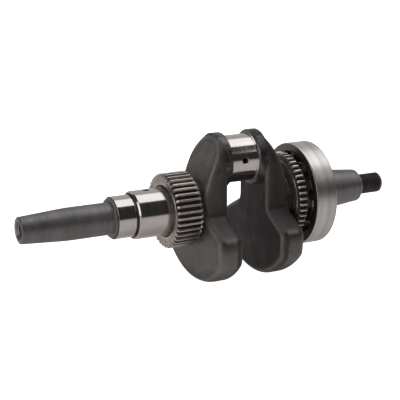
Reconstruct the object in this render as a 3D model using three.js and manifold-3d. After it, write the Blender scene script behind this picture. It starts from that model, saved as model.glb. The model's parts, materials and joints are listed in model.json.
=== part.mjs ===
// Crankshaft of a single-cylinder engine: a one-piece forging with its timing gear, balancer gear,
// keys, oil plug and a deep-groove ball bearing taken apart into rings, balls, cage halves and rivets.
// Millimetres. +X runs along the main axis toward the threaded flywheel end, +Z points at the crankpin.
// The origin is on the main axis, in the middle of the ball bearing.

import * as THREE from "three";
import { mergeVertices } from "three/addons/utils/BufferGeometryUtils.js";
import Module from "manifold-3d";

const wasm = await Module();
wasm.setup();

// ---------------------------------------------------------------- driving sizes

const GAP = 0.3; // kept between pieces that touch on the real part
const CUT_CLEARANCE = 1; // how far a cutter runs past the face it opens

// Facets
const ROUND_STEPS = 32; // round a turned surface
const RING_STEPS = 40; // round the large bearing ring
const RIM_STEPS = 48; // round the envelope of the counterweights
const BORE_STEPS = 20; // round the crankpin's bore and its plug
const TAP_STEPS = 24; // round the tapped hole and the half-moon key
const DRILL_STEPS = 12; // round an oil hole
const RIVET_STEPS = 8; // round a rivet and its hole
const BALL_STEPS = 12; // round a ball
const BALL_RINGS = 7; // from pole to pole of a ball
const WEB_CURVE_STEPS = 8; // points on each curved stretch of a web's outline
const LEAN_STEPS = 6; // points on the curve of a web's outer face
const ROUNDING_STEPS = 4; // points on a rounded rim

// Ball bearing, a standard 40 x 80 x 18
const BEARING_BORE = 40;
const BEARING_OD = 80;
const BEARING_WIDTH = 18;
const BEARING_CHAMFER = 1.1;
const BALL_DIAMETER = 12;
const BALL_COUNT = 9;
const RACE_SHOULDER = 2.2; // how far each ring's shoulder stands beyond its race bottom
const RACE_EDGE_CHAMFER = 0.5;
const RACE_STEPS = 6; // points on a race groove
const CAGE_SHEET = 1.1;
const CAGE_BAND = 4.6; // radial width of the cage
const RIVET_DIAMETER = 2;
const RIVET_HEAD_DIAMETER = 3.4;
const RIVET_HEAD_HEIGHT = 0.7;
const RIVET_CROWN_DIAMETER = 2;

// Crank throw, pin and webs
const THROW = 34;
const PIN_DIAMETER = 36;
const PIN_FILLET = 1.6;
const THRUST_GAP = 23.7; // clear width between the two thrust rings
const THRUST_RING_RADIUS = 21;
const THRUST_RING_HEIGHT = 4;
const WEB_THICKNESS = 20.7;
const WEB_EDGE_ROUND = 5;
const ARM_RADIUS = 22;
const ARM_FLARE_Z = -3.5; // where the arm's sides leave the vertical
const COUNTERWEIGHT_HALF_WIDTH = 46;
const COUNTERWEIGHT_SHOULDER_Z = -16.5;
const COUNTERWEIGHT_RADIUS = 58.2;
const RIM_ROUND_WIDTH = 9; // soft outer rim of the counterweight, along the axis
const RIM_ROUND_HEIGHT = 6.5; // and across it
const SHOULDER_ROUND = 4.5;
const FLARE_ROUND = 7;
const ARM_LEAN_START_Z = 10; // the outer face curves inward from here to the top
const ARM_LEAN_KNEE_Z = 36;
const ARM_LEAN_KNEE_DEPTH = 6; // pull of the curve's middle
const ARM_LEAN_DEPTH = 20; // web thickness lost at the top of the arm

// Seats and journals, from the flywheel-side web to the stud
const WEB_SHOULDER_DIAMETER = 43;
const WEB_SHOULDER_WIDTH = 2.1;
const BALANCER_FACE_WIDTH = 7.3;
const BALANCER_HUB_DIAMETER = 50;
const BALANCER_HUB_WIDTH = 3.6;
const SEAT_OVERRUN = 3; // bearing seat beyond the bearing
const FLYWHEEL_SEAL_DIAMETER = 35;
const FLYWHEEL_SEAL_WIDTH = 9;
const FLYWHEEL_TAPER_DIAMETER = 31.4;
const FLYWHEEL_TAPER_RATIO = 5; // one in five on the diameter
const FLYWHEEL_TAPER_LENGTH = 30;
const STUD_DIAMETER = 16;
const STUD_LENGTH = 23.5;
const STUD_CHAMFER = 1.5;
const STUD_RELIEF = 1.2; // depth of the thread run-out groove
const STUD_RELIEF_WIDTH = 2;
const TAPER_END_CHAMFER = 0.8;

// Seats and journals, from the PTO-side web to the PTO end
const TIMING_SHOULDER_DIAMETER = 43;
const TIMING_SHOULDER_WIDTH = 3.4;
const TIMING_SEAT_DIAMETER = 37;
const TIMING_FACE_WIDTH = 20.2;
const JOURNAL_UNDERCUT_WIDTH = 1.6;
const JOURNAL_UNDERCUT_DEPTH = 1.2;
const MAIN_JOURNAL_DIAMETER = 36;
const MAIN_JOURNAL_LENGTH = 24.6;
const MAIN_JOURNAL_CHAMFER = 1.2;
const SEAL_GROOVE_WIDTH = 1.7;
const SEAL_GROOVE_DEPTH = 1;
const SEAL_JOURNAL_DIAMETER = 31.6;
const SEAL_JOURNAL_LENGTH = 13.8;
const COLLAR_DIAMETER = 29.4;
const COLLAR_LENGTH = 1.8;
const PTO_DIAMETER = 24;
const PTO_LENGTH = 34; // straight part
const PTO_TAPER_LENGTH = 34.5;
const PTO_TAPER_RATIO = 8;
const PTO_TAP_DIAMETER = 10.4;
const PTO_TAP_DEPTH = 34;
const PTO_COUNTERSINK_DIAMETER = 14.6;
const PTO_END_CHAMFER = 0.6;

// Gears, both cut with one hob
const GEAR_MODULE = 1.41;
const PRESSURE_ANGLE = 20;
const DEDENDUM = 1.25; // in modules
const TIMING_TEETH = 38;
const BALANCER_TEETH = 46;
const TOOTH_CHAMFER = 1.1;
const GEAR_BORE_CHAMFER = 1;

// Keys and oil drillings
const GEAR_KEY_WIDTH = 5;
const GEAR_KEY_HEIGHT = 5;
const TIMING_KEY_INSET = 3; // from each face of the gear
const BALANCER_KEY_INSET = 1.4;
const FLYWHEEL_KEY_WIDTH = 4;
const FLYWHEEL_KEY_DIAMETER = 16;
const FLYWHEEL_KEY_HEIGHT = 6.5;
const FLYWHEEL_KEY_STAND = 1.8; // how far it stands out of the taper
const OIL_HOLE_DIAMETER = 4;
const OIL_GALLERY_DIAMETER = 5;
const PIN_BORE_DIAMETER = 12;
const PIN_BORE_DEPTH_PAST_MIDDLE = 4;
const PLUG_LENGTH = 6;
const PLUG_RECESS = 1.5;
const PIN_OIL_HOLE_ANGLE = 175; // degrees from +Y toward +Z

// ---------------------------------------------------------------- stations along the axis

const bearingLeft = -BEARING_WIDTH / 2;
const bearingRight = BEARING_WIDTH / 2;
const balancerRight = bearingLeft - GAP - BALANCER_HUB_WIDTH;
const balancerLeft = balancerRight - BALANCER_FACE_WIDTH;
const webShoulderRight = balancerLeft - GAP;
const rightWebOuter = webShoulderRight - WEB_SHOULDER_WIDTH;
const rightWebInner = rightWebOuter - WEB_THICKNESS;
const rightThrust = rightWebInner - THRUST_RING_HEIGHT;
const pinMiddle = rightThrust - THRUST_GAP / 2;
const leftThrust = pinMiddle - THRUST_GAP / 2;
const leftWebInner = leftThrust - THRUST_RING_HEIGHT;
const leftWebOuter = leftWebInner - WEB_THICKNESS;
const timingRight = leftWebOuter - TIMING_SHOULDER_WIDTH - GAP;
const timingLeft = timingRight - TIMING_FACE_WIDTH;
const journalRight = timingLeft - JOURNAL_UNDERCUT_WIDTH;
const journalLeft = journalRight - MAIN_JOURNAL_LENGTH;
const sealRight = journalLeft - SEAL_GROOVE_WIDTH;
const sealLeft = sealRight - SEAL_JOURNAL_LENGTH;
const ptoStart = sealLeft - COLLAR_LENGTH;
const ptoTaperStart = ptoStart - PTO_LENGTH;
const ptoEnd = ptoTaperStart - PTO_TAPER_LENGTH;
const sealStart = bearingRight + SEAT_OVERRUN;
const taperStart = sealStart + FLYWHEEL_SEAL_WIDTH;
const taperEnd = taperStart + FLYWHEEL_TAPER_LENGTH;
const studEnd = taperEnd + STUD_LENGTH;

const ballCircle = (BEARING_BORE + BEARING_OD) / 4;
const ballRadius = BALL_DIAMETER / 2;
const shaftSeatRadius = BEARING_BORE / 2 - GAP;
const taperEndRadius = (FLYWHEEL_TAPER_DIAMETER - FLYWHEEL_TAPER_LENGTH / FLYWHEEL_TAPER_RATIO) / 2;
const ptoEndRadius = (PTO_DIAMETER - PTO_TAPER_LENGTH / PTO_TAPER_RATIO) / 2;

// ---------------------------------------------------------------- solid helpers

// A closed three.js geometry as a manifold-3d solid.
function solid(geometry) {
  geometry.deleteAttribute("normal");
  geometry.deleteAttribute("uv");
  const merged = mergeVertices(geometry, 1e-4);
  return new wasm.Manifold(
    new wasm.Mesh({
      numProp: 3,
      vertProperties: merged.attributes.position.array,
      triVerts: new Uint32Array(merged.index.array),
    }),
  );
}

// Turned solid round the X axis from [x, radius] corners in rising x.
function turned(corners, steps = ROUND_STEPS) {
  const profile = corners.map(([x, radius]) => new THREE.Vector2(radius, x));
  return solid(new THREE.LatheGeometry(profile, steps).rotateZ(-Math.PI / 2));
}

// Turned ring: the corners go once round its section.
function turnedRing(corners, steps = ROUND_STEPS) {
  return turned([...corners, corners[0]], steps);
}

// Cylinder along X between two stations.
function rod(radius, from, to, steps = ROUND_STEPS) {
  return turned([[from, 0], [from, radius], [to, radius], [to, 0]], steps);
}

// Cylinder between two points in space.
function drill(radius, from, to) {
  const span = to.clone().sub(from);
  const turn = new THREE.Quaternion().setFromUnitVectors(
    new THREE.Vector3(0, 1, 0),
    span.clone().normalize(),
  );
  const geometry = new THREE.CylinderGeometry(radius, radius, span.length(), DRILL_STEPS)
    .applyQuaternion(turn)
    .translate(...from.clone().add(to).multiplyScalar(0.5));
  return solid(geometry);
}

// Box from its low and high corners.
function block(low, high) {
  const size = high.map((value, i) => value - low[i]);
  const middle = high.map((value, i) => (value + low[i]) / 2);
  return solid(new THREE.BoxGeometry(...size).translate(...middle));
}

// Outline in the Y-Z plane, extruded along X from one station to another.
function extruded(shape, from, to, round = 0) {
  const geometry = new THREE.ExtrudeGeometry(shape, {
    depth: to - from - 2 * round,
    bevelEnabled: round > 0,
    bevelThickness: round,
    bevelSize: round,
    bevelOffset: -round,
    bevelSegments: 3,
    steps: 1,
  });
  geometry.translate(0, 0, from + round);
  const toYZ = new THREE.Matrix4().makeBasis(
    new THREE.Vector3(0, 1, 0),
    new THREE.Vector3(0, 0, 1),
    new THREE.Vector3(1, 0, 0),
  );
  return solid(geometry.applyMatrix4(toYZ));
}

function union(...solids) {
  return solids.reduce((sum, next) => sum.add(next));
}

const crankshaft = new THREE.Group();
const MATERIALS = {
  forging: { color: 0x3f3d3b, roughness: 0.75, metalness: 0.6 },
  gear: { color: 0x8f8884, roughness: 0.4, metalness: 0.9 },
  bearing: { color: 0xb9b7b4, roughness: 0.3, metalness: 1 },
  ball: { color: 0xd8d8d8, roughness: 0.12, metalness: 1 },
  cage: { color: 0xa9a6a0, roughness: 0.45, metalness: 0.9 },
  key: { color: 0x6d6a67, roughness: 0.5, metalness: 0.9 },
};

// Adds a finished solid to the crankshaft as a named mesh.
function place(name, made, look) {
  const { numProp, vertProperties, triVerts } = made.getMesh();
  const geometry = new THREE.BufferGeometry();
  const positions = new Float32Array((vertProperties.length / numProp) * 3);
  for (let i = 0; i * numProp < vertProperties.length; i++)
    positions.set(vertProperties.subarray(i * numProp, i * numProp + 3), i * 3);
  geometry.setAttribute("position", new THREE.BufferAttribute(positions, 3));
  geometry.setIndex(new THREE.BufferAttribute(triVerts, 1));
  geometry.computeVertexNormals();
  const mesh = new THREE.Mesh(geometry, new THREE.MeshStandardMaterial(MATERIALS[look]));
  mesh.name = name;
  crankshaft.add(mesh);
}

// ---------------------------------------------------------------- forging

// Point on a line from a toward b, a given distance before b.
function before(a, b, distance) {
  const back = a.clone().sub(b).setLength(distance);
  return b.clone().add(back);
}

// Points of a closed outline without repeats.
function distinct(points) {
  return points.filter((point, i) => point.distanceTo(points.at(i - 1)) > 1e-3);
}

// Web outline: round arm over the crankpin, flared shoulders and a round counterweight.
function webOutline() {
  const flare = new THREE.Vector2(ARM_RADIUS, ARM_FLARE_Z);
  const shoulder = new THREE.Vector2(COUNTERWEIGHT_HALF_WIDTH, COUNTERWEIGHT_SHOULDER_Z);
  const sideEnd = -Math.sqrt(COUNTERWEIGHT_RADIUS ** 2 - COUNTERWEIGHT_HALF_WIDTH ** 2);
  const armSide = new THREE.Vector2(ARM_RADIUS, THROW);
  const low = new THREE.Vector2(COUNTERWEIGHT_HALF_WIDTH, sideEnd);
  const lowAngle = Math.atan2(low.y, low.x);
  const shape = new THREE.Shape();
  const corner = (mirror, from, at, to, round) => {
    const start = before(from, at, round);
    const end = before(to, at, round);
    shape.lineTo(mirror * start.x, start.y);
    shape.quadraticCurveTo(mirror * at.x, at.y, mirror * end.x, end.y);
  };
  const mirrored = (point) => new THREE.Vector2(-point.x, point.y);
  shape.absarc(0, THROW, ARM_RADIUS, 0, Math.PI, false);
  const left = [armSide, flare, shoulder, low].map(mirrored);
  corner(1, left[0], left[1], left[2], FLARE_ROUND);
  corner(1, left[1], left[2], left[3], SHOULDER_ROUND);
  shape.absarc(0, 0, COUNTERWEIGHT_RADIUS, Math.PI - lowAngle, 2 * Math.PI + lowAngle, false);
  corner(1, low, shoulder, flare, SHOULDER_ROUND);
  corner(1, shoulder, flare, armSide, FLARE_ROUND);
  return new THREE.Shape(distinct(shape.getPoints(WEB_CURVE_STEPS)));
}

// Curve of a web's outer face up its arm: how far it has come in, against height.
const armTop = THROW + ARM_RADIUS;
const leanCurve = new THREE.QuadraticBezierCurve(
  new THREE.Vector2(0, ARM_LEAN_START_Z),
  new THREE.Vector2(ARM_LEAN_KNEE_DEPTH, ARM_LEAN_KNEE_Z),
  new THREE.Vector2(ARM_LEAN_DEPTH, armTop),
);

// How far the outer face has come in at a height, along the straight stretches between the curve's points.
function leanDepthAt(height) {
  const points = leanCurve.getPoints(LEAN_STEPS);
  const above = points.findIndex((point) => point.y >= height);
  if (above < 1) return above < 0 ? ARM_LEAN_DEPTH : 0;
  const [low, high] = [points[above - 1], points[above]];
  return THREE.MathUtils.mapLinear(height, low.y, high.y, low.x, high.x);
}

// One web. side is -1 for the PTO side and 1 for the flywheel side, where its outer face looks.
function web(inner, outer, side) {
  const body = extruded(webOutline(), Math.min(inner, outer), Math.max(inner, outer), WEB_EDGE_ROUND);
  const clear = outer + side * WEB_THICKNESS;
  const cut = new THREE.Shape();
  cut.moveTo(clear, ARM_LEAN_START_Z);
  for (const { x, y } of leanCurve.getPoints(LEAN_STEPS)) cut.lineTo(outer - side * x, y);
  cut.lineTo(outer - side * ARM_LEAN_DEPTH, armTop + CUT_CLEARANCE);
  cut.lineTo(clear, armTop + CUT_CLEARANCE);
  const points = distinct(cut.getPoints());
  const slab = new THREE.ExtrudeGeometry(new THREE.Shape(points), {
    depth: 4 * ARM_RADIUS,
    bevelEnabled: false,
  });
  const leaning = solid(slab.rotateX(Math.PI / 2).translate(0, 2 * ARM_RADIUS, 0));
  return body.subtract(leaning).intersect(rimEnvelope(inner, outer, side));
}

// Turned body that a web stays inside, which rounds off the outer rim of its counterweight.
function rimEnvelope(inner, outer, side) {
  const corners = [[outer, 0]];
  for (let i = 0; i <= ROUNDING_STEPS; i++) {
    const angle = (i / ROUNDING_STEPS) * (Math.PI / 2);
    const x = outer - side * RIM_ROUND_WIDTH * (1 - Math.cos(angle));
    corners.push([x, COUNTERWEIGHT_RADIUS - RIM_ROUND_HEIGHT * (1 - Math.sin(angle))]);
  }
  corners.push([inner, COUNTERWEIGHT_RADIUS], [inner, 0]);
  return turned(side > 0 ? corners.reverse() : corners, RIM_STEPS);
}

// Quarter-round between a cylinder and a face at its end, as [x, radius] corners.
function fillet(x, radius, size, toward) {
  const corners = [];
  for (let i = 0; i <= 3; i++) {
    const angle = (i / 3) * (Math.PI / 2);
    corners.push([x + toward * size * (1 - Math.sin(angle)), radius + size * (1 - Math.cos(angle))]);
  }
  return toward > 0 ? corners.reverse() : corners;
}

function crankpin() {
  const radius = PIN_DIAMETER / 2;
  const root = WEB_THICKNESS / 4;
  const left = fillet(leftThrust, radius, PIN_FILLET, 1);
  const right = fillet(rightThrust, radius, PIN_FILLET, -1);
  const profile = [
    [leftWebInner - root, 0],
    [leftWebInner - root, THRUST_RING_RADIUS],
    [leftThrust, THRUST_RING_RADIUS],
    ...left,
    ...right,
    [rightThrust, THRUST_RING_RADIUS],
    [rightWebInner + root, THRUST_RING_RADIUS],
    [rightWebInner + root, 0],
  ];
  return turned(profile).translate([0, 0, THROW]);
}

function ptoSide() {
  const seal = SEAL_JOURNAL_DIAMETER / 2;
  const journal = MAIN_JOURNAL_DIAMETER / 2;
  const seat = TIMING_SEAT_DIAMETER / 2;
  const undercut = Math.min(journal, seat) - JOURNAL_UNDERCUT_DEPTH;
  return turned([
    [ptoEnd, 0],
    [ptoEnd, ptoEndRadius - PTO_END_CHAMFER],
    [ptoEnd + PTO_END_CHAMFER, ptoEndRadius],
    [ptoTaperStart, PTO_DIAMETER / 2],
    [ptoStart, PTO_DIAMETER / 2],
    [ptoStart, COLLAR_DIAMETER / 2],
    [sealLeft, COLLAR_DIAMETER / 2],
    [sealLeft, seal],
    [sealRight, seal],
    [sealRight, seal - SEAL_GROOVE_DEPTH],
    [journalLeft, seal - SEAL_GROOVE_DEPTH],
    [journalLeft, journal - MAIN_JOURNAL_CHAMFER],
    [journalLeft + MAIN_JOURNAL_CHAMFER, journal],
    [journalRight, journal],
    [journalRight, undercut],
    [timingLeft, undercut],
    [timingLeft, seat],
    [timingRight + GAP, seat],
    [timingRight + GAP, TIMING_SHOULDER_DIAMETER / 2],
    [leftWebOuter + WEB_THICKNESS / 2, TIMING_SHOULDER_DIAMETER / 2],
    [leftWebOuter + WEB_THICKNESS / 2, 0],
  ]);
}

function flywheelSide() {
  const stud = STUD_DIAMETER / 2;
  const reliefEnd = taperEnd + STUD_RELIEF_WIDTH;
  return turned([
    [rightWebOuter - WEB_THICKNESS / 2, 0],
    [rightWebOuter - WEB_THICKNESS / 2, WEB_SHOULDER_DIAMETER / 2],
    [webShoulderRight, WEB_SHOULDER_DIAMETER / 2],
    [webShoulderRight, shaftSeatRadius],
    [sealStart, shaftSeatRadius],
    [sealStart, FLYWHEEL_SEAL_DIAMETER / 2],
    [taperStart, FLYWHEEL_SEAL_DIAMETER / 2],
    [taperStart, FLYWHEEL_TAPER_DIAMETER / 2],
    [taperEnd - TAPER_END_CHAMFER, taperEndRadius],
    [taperEnd, taperEndRadius - TAPER_END_CHAMFER],
    [taperEnd, stud - STUD_RELIEF],
    [reliefEnd, stud - STUD_RELIEF],
    [reliefEnd + STUD_RELIEF, stud],
    [studEnd - STUD_CHAMFER, stud],
    [studEnd, stud - STUD_CHAMFER],
    [studEnd, 0],
  ]);
}

// Tapped hole of the PTO end, with the countersink that centres the shaft on a grinder.
function ptoHole() {
  const sink = PTO_COUNTERSINK_DIAMETER / 2;
  const tap = PTO_TAP_DIAMETER / 2;
  return turned(
    [
      [ptoEnd - CUT_CLEARANCE, 0],
      [ptoEnd - CUT_CLEARANCE, sink + CUT_CLEARANCE],
      [ptoEnd + sink - tap, tap],
      [ptoEnd + PTO_TAP_DEPTH, tap],
      [ptoEnd + PTO_TAP_DEPTH + tap, 0],
    ],
    TAP_STEPS,
  );
}

const journalMiddle = (journalLeft + journalRight) / 2;
const pinBoreMouth = rightWebOuter - leanDepthAt(THROW + PIN_BORE_DIAMETER / 2);
const plugRight = pinBoreMouth - PLUG_RECESS;
const pinBoreEnd = pinMiddle - PIN_BORE_DEPTH_PAST_MIDDLE;

// Hollow crankpin, its oil hole, the main journal's oil hole and the gallery that joins them.
function oilDrillings() {
  const angle = THREE.MathUtils.degToRad(PIN_OIL_HOLE_ANGLE);
  const pinCentre = new THREE.Vector3(pinMiddle, 0, THROW);
  const pinSurface = new THREE.Vector3(0, Math.cos(angle), Math.sin(angle))
    .multiplyScalar(PIN_DIAMETER)
    .add(pinCentre);
  const journalCentre = new THREE.Vector3(journalMiddle, 0, 0);
  const journalTop = new THREE.Vector3(journalMiddle, 0, MAIN_JOURNAL_DIAMETER);
  const galleryEnd = new THREE.Vector3(pinBoreEnd + CUT_CLEARANCE, 0, THROW);
  return union(
    rod(PIN_BORE_DIAMETER / 2, pinBoreEnd, rightWebOuter, BORE_STEPS).translate([0, 0, THROW]),
    drill(OIL_HOLE_DIAMETER / 2, pinCentre, pinSurface),
    drill(OIL_HOLE_DIAMETER / 2, journalCentre, journalTop),
    drill(OIL_GALLERY_DIAMETER / 2, journalCentre, galleryEnd),
  );
}

// ---------------------------------------------------------------- keys

// Parallel key of a gear, standing half its height out of the seat, on the +Y side.
function gearKey(seatRadius, from, to, margin) {
  const half = GEAR_KEY_WIDTH / 2 + margin;
  const base = seatRadius - GEAR_KEY_HEIGHT / 2 - margin;
  const crest = seatRadius + GEAR_KEY_HEIGHT / 2 + margin;
  return block([from - margin, base, -half], [to + margin, crest, half]);
}

// Half-moon key of the flywheel taper, on the +Y side as the gear keys are.
function flywheelKey(margin) {
  const middle = (taperStart + taperEnd) / 2;
  const taperRadius = (FLYWHEEL_TAPER_DIAMETER / 2 + taperEndRadius) / 2;
  const crest = taperRadius + FLYWHEEL_KEY_STAND;
  const centre = crest - FLYWHEEL_KEY_HEIGHT + FLYWHEEL_KEY_DIAMETER / 2;
  const radius = FLYWHEEL_KEY_DIAMETER / 2 + margin;
  const half = FLYWHEEL_KEY_WIDTH / 2 + margin;
  const disc = new THREE.CylinderGeometry(radius, radius, 2 * half, TAP_STEPS)
    .rotateX(Math.PI / 2)
    .translate(middle, centre, 0);
  const keep = block([middle - 2 * radius, 0, -2 * half], [middle + 2 * radius, crest + margin, 2 * half]);
  return solid(disc).intersect(keep);
}

// ---------------------------------------------------------------- gears

// Outline of an involute spur gear as a three.js shape.
function gearOutline(teeth) {
  const pitch = (GEAR_MODULE * teeth) / 2;
  const tip = pitch + GEAR_MODULE;
  const root = pitch - DEDENDUM * GEAR_MODULE;
  const alpha = THREE.MathUtils.degToRad(PRESSURE_ANGLE);
  const base = pitch * Math.cos(alpha);
  const involute = (angle) => Math.tan(angle) - angle;
  const halfTooth = (radius) => {
    const slope = radius > base ? Math.acos(base / radius) : 0;
    return Math.PI / (2 * teeth) + involute(alpha) - involute(slope);
  };
  const rising = [root, pitch, tip].map((radius) => [radius, -halfTooth(Math.max(radius, base))]);
  const falling = rising.map(([radius, angle]) => [radius, -angle]).reverse();
  const points = [];
  for (let tooth = 0; tooth < teeth; tooth++) {
    const middle = (2 * Math.PI * tooth) / teeth;
    for (const [radius, angle] of [...rising, ...falling]) {
      const turn = middle + angle;
      points.push(new THREE.Vector2(radius * Math.cos(turn), radius * Math.sin(turn)));
    }
  }
  return new THREE.Shape(points);
}

// Toothed ring from one station to another, with both rims of its teeth chamfered.
function toothed(teeth, from, to) {
  const tip = (GEAR_MODULE * (teeth / 2 + 1)) / Math.cos(Math.PI / teeth);
  const blank = turned(
    [
      [from, 0],
      [from, tip - TOOTH_CHAMFER],
      [from + TOOTH_CHAMFER, tip],
      [to - TOOTH_CHAMFER, tip],
      [to, tip - TOOTH_CHAMFER],
      [to, 0],
    ],
    teeth,
  );
  return extruded(gearOutline(teeth), from, to).intersect(blank);
}

// Bore of a gear with a chamfer at its open end.
function gearBore(radius, from, to) {
  return turned([
    [from - CUT_CLEARANCE, 0],
    [from - CUT_CLEARANCE, radius + GEAR_BORE_CHAMFER + CUT_CLEARANCE],
    [from + GEAR_BORE_CHAMFER, radius],
    [to + CUT_CLEARANCE, radius],
    [to + CUT_CLEARANCE, 0],
  ]);
}

// ---------------------------------------------------------------- ball bearing

// Angles of the race groove's arc, where it meets a ring's shoulders.
function raceArc(shoulderDepth) {
  const groove = ballRadius + GAP;
  return Math.acos((groove - shoulderDepth) / groove);
}

// One ring of the bearing. outward is 1 for the outer ring and -1 for the inner ring.
function bearingRing(outward) {
  const groove = ballRadius + GAP;
  const edge = outward > 0 ? BEARING_OD / 2 : BEARING_BORE / 2;
  const shoulder = ballCircle + outward * (groove - RACE_SHOULDER);
  const half = BEARING_WIDTH / 2;
  const chamfer = BEARING_CHAMFER;
  const swing = raceArc(RACE_SHOULDER);
  const corners = [
    [-half, shoulder + outward * RACE_EDGE_CHAMFER],
    [-half + RACE_EDGE_CHAMFER, shoulder],
  ];
  for (let i = 0; i <= RACE_STEPS; i++) {
    const angle = -swing + (2 * swing * i) / RACE_STEPS;
    corners.push([groove * Math.sin(angle), ballCircle + outward * groove * Math.cos(angle)]);
  }
  corners.push([half - RACE_EDGE_CHAMFER, shoulder]);
  corners.push([half, shoulder + outward * RACE_EDGE_CHAMFER]);
  corners.push([half, edge - outward * chamfer]);
  corners.push([half - chamfer, edge]);
  corners.push([-half + chamfer, edge]);
  corners.push([-half, edge - outward * chamfer]);
  const ordered = outward > 0 ? corners.reverse() : corners;
  return turnedRing(ordered, outward > 0 ? RING_STEPS : ROUND_STEPS);
}

// Centre of a ball, or of the land between two balls when between is 0.5.
function onBallCircle(index, between = 0) {
  const angle = (2 * Math.PI * (index + between)) / BALL_COUNT + Math.PI / 2;
  return [0, ballCircle * Math.cos(angle), ballCircle * Math.sin(angle)];
}

function ballSolid(radius, centre) {
  return solid(new THREE.SphereGeometry(radius, BALL_STEPS, BALL_RINGS)).translate(centre);
}

// Half of the pressed cage: a flat band with a domed pocket over each ball. side is -1 or 1.
function cageHalf(side) {
  const near = side * (GAP / 2);
  const far = side * (GAP / 2 + CAGE_SHEET);
  const inner = ballCircle - CAGE_BAND / 2;
  const outer = ballCircle + CAGE_BAND / 2;
  const bore = rod(inner, -BEARING_WIDTH, BEARING_WIDTH);
  const band = (a, b) => rod(outer, Math.min(a, b), Math.max(a, b)).subtract(bore);
  const rivetHole = rod(RIVET_DIAMETER / 2 + GAP, -BEARING_WIDTH, BEARING_WIDTH, RIVET_STEPS);
  let half = band(near, far);
  for (let i = 0; i < BALL_COUNT; i++)
    half = half.add(ballSolid(ballRadius + GAP + CAGE_SHEET, onBallCircle(i)));
  half = half.intersect(band(near, side * BEARING_WIDTH));
  for (let i = 0; i < BALL_COUNT; i++) {
    half = half.subtract(ballSolid(ballRadius + GAP, onBallCircle(i)));
    half = half.subtract(rivetHole.translate(onBallCircle(i, 0.5)));
  }
  return half;
}

function rivet(index) {
  const grip = GAP / 2 + CAGE_SHEET + GAP;
  const shank = RIVET_DIAMETER / 2;
  const head = RIVET_HEAD_DIAMETER / 2;
  const crown = RIVET_CROWN_DIAMETER / 2;
  const end = grip + RIVET_HEAD_HEIGHT;
  return turned(
    [
      [-end, 0],
      [-end, crown],
      [-grip, head],
      [-grip, shank],
      [grip, shank],
      [grip, head],
      [end, crown],
      [end, 0],
    ],
    RIVET_STEPS,
  ).translate(onBallCircle(index, 0.5));
}

// ---------------------------------------------------------------- assembly

const timingSeat = TIMING_SEAT_DIAMETER / 2;
const timingKeySpan = [timingLeft + TIMING_KEY_INSET, timingRight - TIMING_KEY_INSET];
const balancerKeySpan = [balancerLeft + BALANCER_KEY_INSET, bearingLeft - GAP - BALANCER_KEY_INSET];

const forging = union(
  ptoSide(),
  web(leftWebInner, leftWebOuter, -1),
  crankpin(),
  web(rightWebInner, rightWebOuter, 1),
  flywheelSide(),
)
  .subtract(ptoHole())
  .subtract(oilDrillings())
  .subtract(gearKey(timingSeat, ...timingKeySpan, GAP))
  .subtract(gearKey(shaftSeatRadius, ...balancerKeySpan, GAP))
  .subtract(flywheelKey(GAP));
place("crankshaft_forging", forging, "forging");

const timingBore = timingSeat + GAP;
const timingGear = toothed(TIMING_TEETH, timingLeft, timingRight)
  .subtract(gearBore(timingBore, timingLeft, timingRight))
  .subtract(gearKey(timingSeat, timingLeft - CUT_CLEARANCE, timingRight + CUT_CLEARANCE, GAP));
place("timing_gear", timingGear, "gear");
place("timing_gear_key", gearKey(timingSeat, ...timingKeySpan, 0), "key");

const balancerHub = rod(BALANCER_HUB_DIAMETER / 2, balancerLeft + TOOTH_CHAMFER, bearingLeft - GAP);
const balancerGear = toothed(BALANCER_TEETH, balancerLeft, balancerRight)
  .add(balancerHub)
  .subtract(gearBore(shaftSeatRadius + GAP, balancerLeft, bearingLeft))
  .subtract(gearKey(shaftSeatRadius, balancerLeft - CUT_CLEARANCE, bearingLeft, GAP));
place("balancer_gear", balancerGear, "gear");
place("balancer_gear_key", gearKey(shaftSeatRadius, ...balancerKeySpan, 0), "key");

place("flywheel_key", flywheelKey(0), "key");
const plug = rod(PIN_BORE_DIAMETER / 2 - GAP, plugRight - PLUG_LENGTH, plugRight, BORE_STEPS);
place("oil_gallery_plug", plug.translate([0, 0, THROW]), "key");

place("bearing_outer_ring", bearingRing(1), "bearing");
place("bearing_inner_ring", bearingRing(-1), "bearing");
place("bearing_cage_left", cageHalf(-1), "cage");
place("bearing_cage_right", cageHalf(1), "cage");
for (let i = 0; i < BALL_COUNT; i++) {
  place(`bearing_ball_${i + 1}`, ballSolid(ballRadius, onBallCircle(i)), "ball");
  place(`cage_rivet_${i + 1}`, rivet(i), "cage");
}

export default crankshaft;
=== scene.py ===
# %% [markdown]
# # Crankshaft of a single-cylinder engine
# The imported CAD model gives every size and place. This file loads it as a fixed frame, builds each
# piece again as a fine surface worked out with numpy, and gives each one a finish made of shader nodes.
# Each new piece stands for its CAD node and rides on that node's body.

# %% Load the frame
import json
import math

import bmesh
import bpy
import numpy as np
from mathutils import Matrix, Vector


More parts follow.
